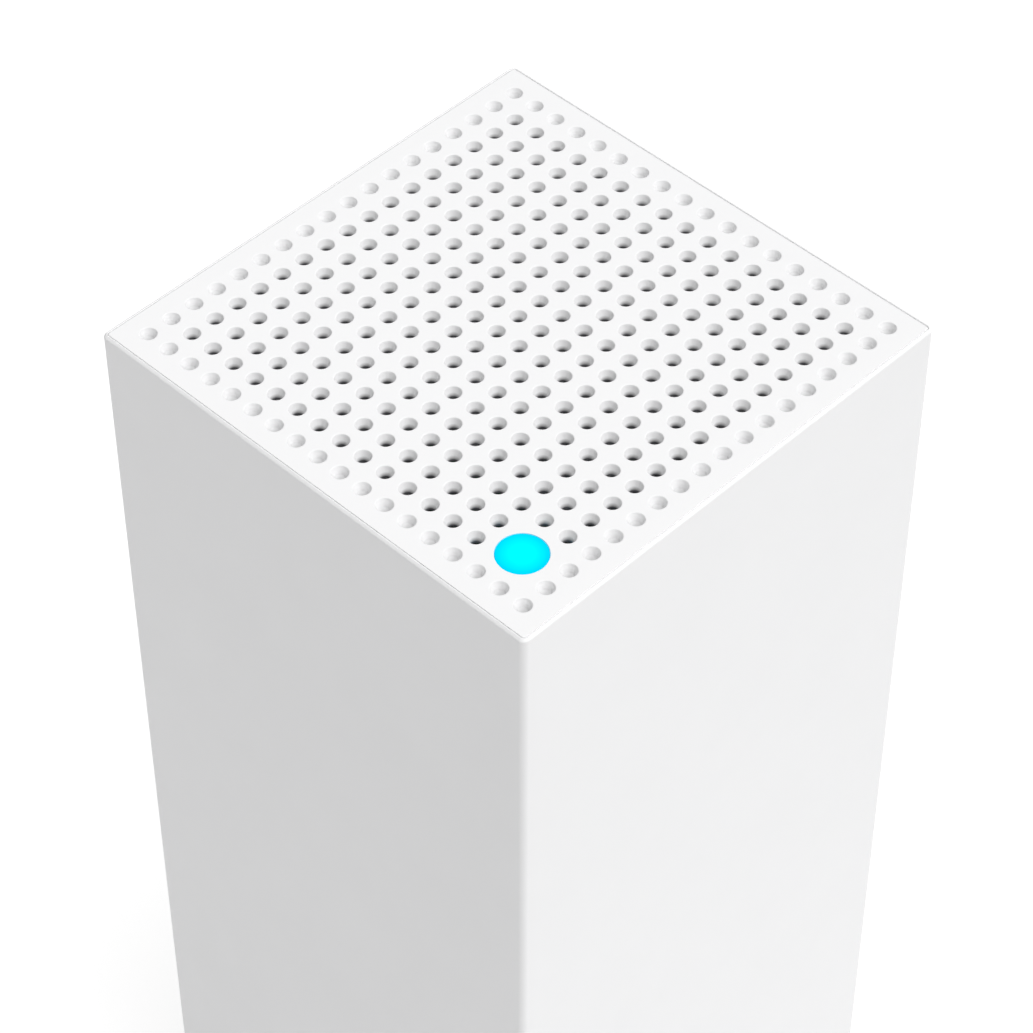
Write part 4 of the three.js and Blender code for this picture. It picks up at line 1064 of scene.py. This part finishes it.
for port in PORTS:
    add_piece(f"{port}_shell", network_port(port), "black_plastic", stands_for=[port], bevel=0.2)
    add_piece(f"{port}_contacts", port_contacts(port), "contact_brass", bevel=0.05)
add_piece("power_inlet_shell", power_inlet(), "black_plastic", stands_for=["power_inlet"], bevel=0.2)
add_piece("power_inlet_lining", inlet_lining(), "shield_steel", crease=40)
add_piece("power_inlet_tip", inlet_pin(), "contact_brass", stands_for=["power_inlet_pin"])
add_piece(
    "switch_housing", switch_housing(), "black_plastic", stands_for=["power_switch_housing"], bevel=0.2
)
add_piece("rocker", tilted(rocker()), "rocker_plastic", ROCKER, ["power_rocker"], bevel=0.25)
add_piece("rocker_marks", tilted(rocker_marks()), "white_plastic", ROCKER)
add_piece("reset_cap", reset_button(), "red_plastic", BUTTON, ["reset_button"])


# ---- Everything that keeps its CAD shape, with softer edges ----


def keep_shape(look, bevel, *nodes, body=HOUSING, crease=50):
    for node in nodes:
        add_piece(f"{node}_fine", refined(node), look, body, [node], bevel=bevel, crease=crease)


keep_shape("screw_steel", 0.12, *numbered("socket_board_screw", 2), *numbered("board_screw", 4))
keep_shape("screw_steel", 0.12, *numbered("heat_sink_screw", 2))
keep_shape("frame_plastic", 0.2, "inner_frame")
keep_shape("black_plastic", 0.2, "edge_connector", "reset_switch")
keep_shape("contact_brass", 0.15, "reset_plunger", body=BUTTON)
keep_shape("circuit_board", 0.1, "main_board", "socket_board", "status_light_board")
keep_shape("circuit_board", 0.1, *numbered("antenna", 6))
keep_shape("chip_resin", 0.12, "processor", *numbered("radio_chip", 3))
keep_shape("shield_steel", 0.15, "front_shield", "rear_shield")
keep_shape("thermal_pad", 0.1, "front_thermal_pad", "rear_thermal_pad")
keep_shape("heat_sink_aluminium", 0.15, "front_heat_sink", "rear_heat_sink")
keep_shape("led_package", 0.1, "status_led")
keep_shape("cable_jacket", 0, "status_light_lead", *numbered("antenna_lead", 6), crease=70)


# ---- Small parts on the boards ----


def chip_part(length, width, height):
    """A chip resistor or capacitor that lies on z = 0: its body, and its two metal ends."""
    body_half = length * 0.28
    edges = [-length / 2, -body_half, body_half, length / 2]
    across = (-width / 2, width / 2)
    near_end, body, far_end = [block(along, across, (0, height)) for along in zip(edges, edges[1:])]
    return body, [near_end, far_end]


def board_side(x, z, front):
    """The place at (x, z) on the main board's front or rear face, with the outward direction as +Z."""
    low, high = cad_box("main_board")
    quarter_turn = Matrix.Rotation(pi / 2 if front else -pi / 2, 4, "X")
    return Matrix.Translation((x, low.y if front else high.y, z)) @ quarter_turn


def strip_places(x, z, pitch):
    """The places in a strip, column by column. A narrow strip has one column, in its middle."""
    first = 0.4 * pitch
    width = x[1] - x[0]
    for column in range(int(width / pitch) + 1):
        for row in range(int((z[1] - z[0]) / pitch) + 1):
            across = first + column * pitch if width > pitch else width / 2
            yield x[0] + across, z[0] + first + row * pitch


def main_board_parts():
    """Chip parts along the free strips of both faces, seeded so that they never change."""
    dice = random.Random(7)
    empty_share = 0.25
    low, _ = cad_box("main_board")
    sink_low, sink_high = cad_box("front_heat_sink")
    strips = [
        ((-24, 24), (low.z + 5.5, low.z + 10), 3.2),
        ((-24, 24), (sink_high.z + 2, sink_high.z + 9), 3.4),
        ((-28.2, -26.2), (sink_low.z, sink_high.z), 3.6),
        ((26.2, 28.2), (sink_low.z, sink_high.z), 3.6),
    ]
    bodies, ends = [], []
    for front in (True, False):
        for x, z in [place for strip in strips for place in strip_places(*strip)]:
            if dice.random() < empty_share:
                continue
            length = dice.choice([1.0, 1.6, 2.0])
            body, caps = chip_part(length, length * 0.55, length * 0.3)
            turn = Matrix.Rotation(dice.choice([0, pi / 2]), 4, "Z")
            place = board_side(x, z, front) @ turn
            bodies.append(moved(body, place))
            ends += [moved(cap, place) for cap in caps]
    return gathered(bodies), gathered(ends)


def can_capacitor(radius, height):
    """A round can that stands on z = 0, with a wider foot, a groove above it and a sunk top."""
    foot = [(0, 0), (radius * 1.02, 0), (radius * 1.02, 0.8), (radius, 0.9)]
    groove = [(radius * share, height * rise) for share, rise in ((1, 0.14), (0.93, 0.18), (1, 0.22))]
    edge, sunk = 0.4, height - 0.1
    top = [(radius, height - edge), (radius - edge, height), (radius * 0.6, height)]
    top += [(radius * 0.55, sunk), (0, sunk)]
    return turned(foot + groove + top, sides=SMALL_SIDES)


def socket_board_parts():
    """Cans hung under the board between the sockets."""
    low, _ = cad_box("socket_board")
    large, small = (3.1, 8.5), (2.0, 6.0)  # radius, and height
    places = [(-3, 14, *large), (-3, 22, *large), (-10, 23, *small), (24, -10, *small)]
    cans = []
    for x, y, radius, height in places:
        hang = Matrix.Translation((x, y, low.z)) @ Matrix.Rotation(pi, 4, "X")
        cans.append(moved(can_capacitor(radius, height), hang))
    return gathered(cans)


def solder_joints():
    """A fillet and a pin end over each of the sockets' feet, on top of the socket board."""
    _, high = cad_box("socket_board")
    feet = []
    rows = (-1.3, 1.2)
    for port in PORTS:
        middle_y = cad_centre(port).y
        feet += [(x, middle_y + rows[number % 2]) for number, x in enumerate(wire_places(port))]
    inlet, switch = cad_centre("power_inlet"), cad_centre("power_switch_housing")
    feet += [(inlet.x + dx, inlet.y + dy) for dx, dy in [(0, 0), (3, 3), (-3, 3)]]
    feet += [(switch.x + dx, switch.y) for dx in (-5, 0, 5)]
    fillet = [(0, 0), (0.75, 0), (0.4, 0.25), (0.25, 0.6), (0, 0.7)]
    profile = [(radius, high.z + rise) for radius, rise in fillet]
    return gathered([turned(profile, foot, sides=12) for foot in feet])


def antenna_trace():
    """A folded copper line for an antenna board: the points of its middle, as along and height."""
    reach, feed, start, pitch = 5.5, 3, 16, 4.5
    line = [(0, feed), (-reach, feed), (-reach, start)]
    for turn in range(6):
        side = -1 if turn % 2 else 1
        height = start + turn * pitch
        line += [(side * reach, height), (side * reach, height + pitch)]
    return line


def strip(points, width, thickness):
    """A flat line along its points: a short raised bar for each stretch, overlapping at the corners."""
    bars = []
    for (x0, z0), (x1, z1) in zip(points, points[1:]):
        length = hypot(x1 - x0, z1 - z0)
        bar = block((-width / 2, length + width / 2), (-width / 2, width / 2), (0, thickness))
        turn = Matrix.Rotation(atan2(z1 - z0, x1 - x0), 4, "Z")
        bars.append(moved(bar, Matrix.Translation((x0, z0, 0)) @ turn))
    return joined(*bars)


def add_antenna_traces():
    """A trace on each antenna board's outer face, which looks away from the router's middle."""
    upright = Matrix.Rotation(pi / 2, 4, "X")
    for node in numbered("antenna", 6):
        low, high = cad_box(node)
        centre = cad_centre(node)
        along_x = high.x - low.x > high.y - low.y
        outward = atan2(centre.y, 0) if along_x else atan2(0, centre.x)
        distance = max(high.y, -low.y) if along_x else max(high.x, -low.x)
        turn = Matrix.Rotation(outward + pi / 2, 4, "Z")
        offset = turn.inverted() @ Vector((centre.x, centre.y, 0))
        place = turn @ Matrix.Translation((offset.x, -distance, low.z)) @ upright
        line = moved(strip(antenna_trace(), TRACE_WIDTH, TRACE_RISE), place)
        add_piece(f"{node}_trace", line, "contact_brass")


part_bodies, part_ends = main_board_parts()
add_piece("main_board_chips", part_bodies, "chip_resin", bevel=0.05)
add_piece("main_board_chip_ends", part_ends, "shield_steel", bevel=0.05)
add_piece("socket_board_cans", socket_board_parts(), "heat_sink_aluminium", crease=40)
add_piece("socket_board_solder", solder_joints(), "shield_steel", crease=70)
add_antenna_traces()


# ---- Floor, light and camera ----


def mix_shaders(tree, share, first, second, output):
    mix = tree.nodes.new("ShaderNodeMixShader")
    for source, socket in ((share, 0), (first, 1), (second, 2)):
        tree.links.new(source, mix.inputs[socket])
    tree.links.new(mix.outputs["Shader"], output.inputs["Surface"])


def floor():
    """A pale table, lit from within to keep shadows faint. From below, it can be seen through."""
    half_size = 3000 * MM
    data = bpy.data.meshes.new("floor")
    data.from_pydata([(x, y, 0) for x, y in square(half_size)], [], [(0, 1, 2, 3)])
    made = in_scene("floor", data)
    inner_light = {"Emission Color": (1, 1, 1, 1), "Emission Strength": 0.74}
    look = Look("pale_floor", (0.34, 0.34, 0.34), 0.9, Specular_IOR_Level=0, **inner_light)
    tree = look.tree
    clear = tree.nodes.new("ShaderNodeBsdfTransparent").outputs["BSDF"]
    from_below = tree.nodes.new("ShaderNodeNewGeometry").outputs["Backfacing"]
    mix_shaders(tree, from_below, look.shader.outputs["BSDF"], clear, tree.nodes["Material Output"])
    made.data.materials.append(look.material)


def sky():
    """Soft white light from all round, on a background that shows as pure white."""
    glow_strength, backdrop_strength = 0.25, 1.0
    world = bpy.data.worlds.new("studio")
    world.use_nodes = True
    tree = world.node_tree
    tree.nodes.clear()
    shaders = []
    for strength in (glow_strength, backdrop_strength):
        node = tree.nodes.new("ShaderNodeBackground")
        set_values(node, {"Color": (1, 1, 1, 1), "Strength": strength})
        shaders.append(node.outputs["Background"])
    seen = tree.nodes.new("ShaderNodeLightPath").outputs["Is Camera Ray"]
    mix_shaders(tree, seen, *shaders, tree.nodes.new("ShaderNodeOutputWorld"))
    bpy.context.scene.world = world


def key_light():
    """A very large soft lamp, nearly overhead and a little to the right."""
    data = bpy.data.lights.new("key", "SUN")
    data.energy = pi
    data.angle = radians(62)
    lamp = in_scene("key", data)
    towards = Vector((0.375, 0.15, 0.92))
    lamp.rotation_euler = towards.to_track_quat("Z", "Y").to_euler()


def camera():
    azimuth, elevation = radians(44.35), radians(46.46)
    target = Vector((23.7, -24.6, TOP)) * MM
    distance = 451.6 * MM
    back = Vector((
        sin(azimuth) * cos(elevation),
        -cos(azimuth) * cos(elevation),
        sin(elevation),
    ))
    data = bpy.data.cameras.new("camera")
    data.sensor_width = 36
    data.lens = 124.2
    data.clip_start = 0.01
    made = in_scene("camera", data)
    made.location = target + back * distance
    made.rotation_euler = back.to_track_quat("Z", "Y").to_euler()
    bpy.context.scene.camera = made


floor()
sky()
key_light()
camera()
bpy.context.scene.view_settings.view_transform = "Standard"
bpy.context.scene.view_settings.look = "None"
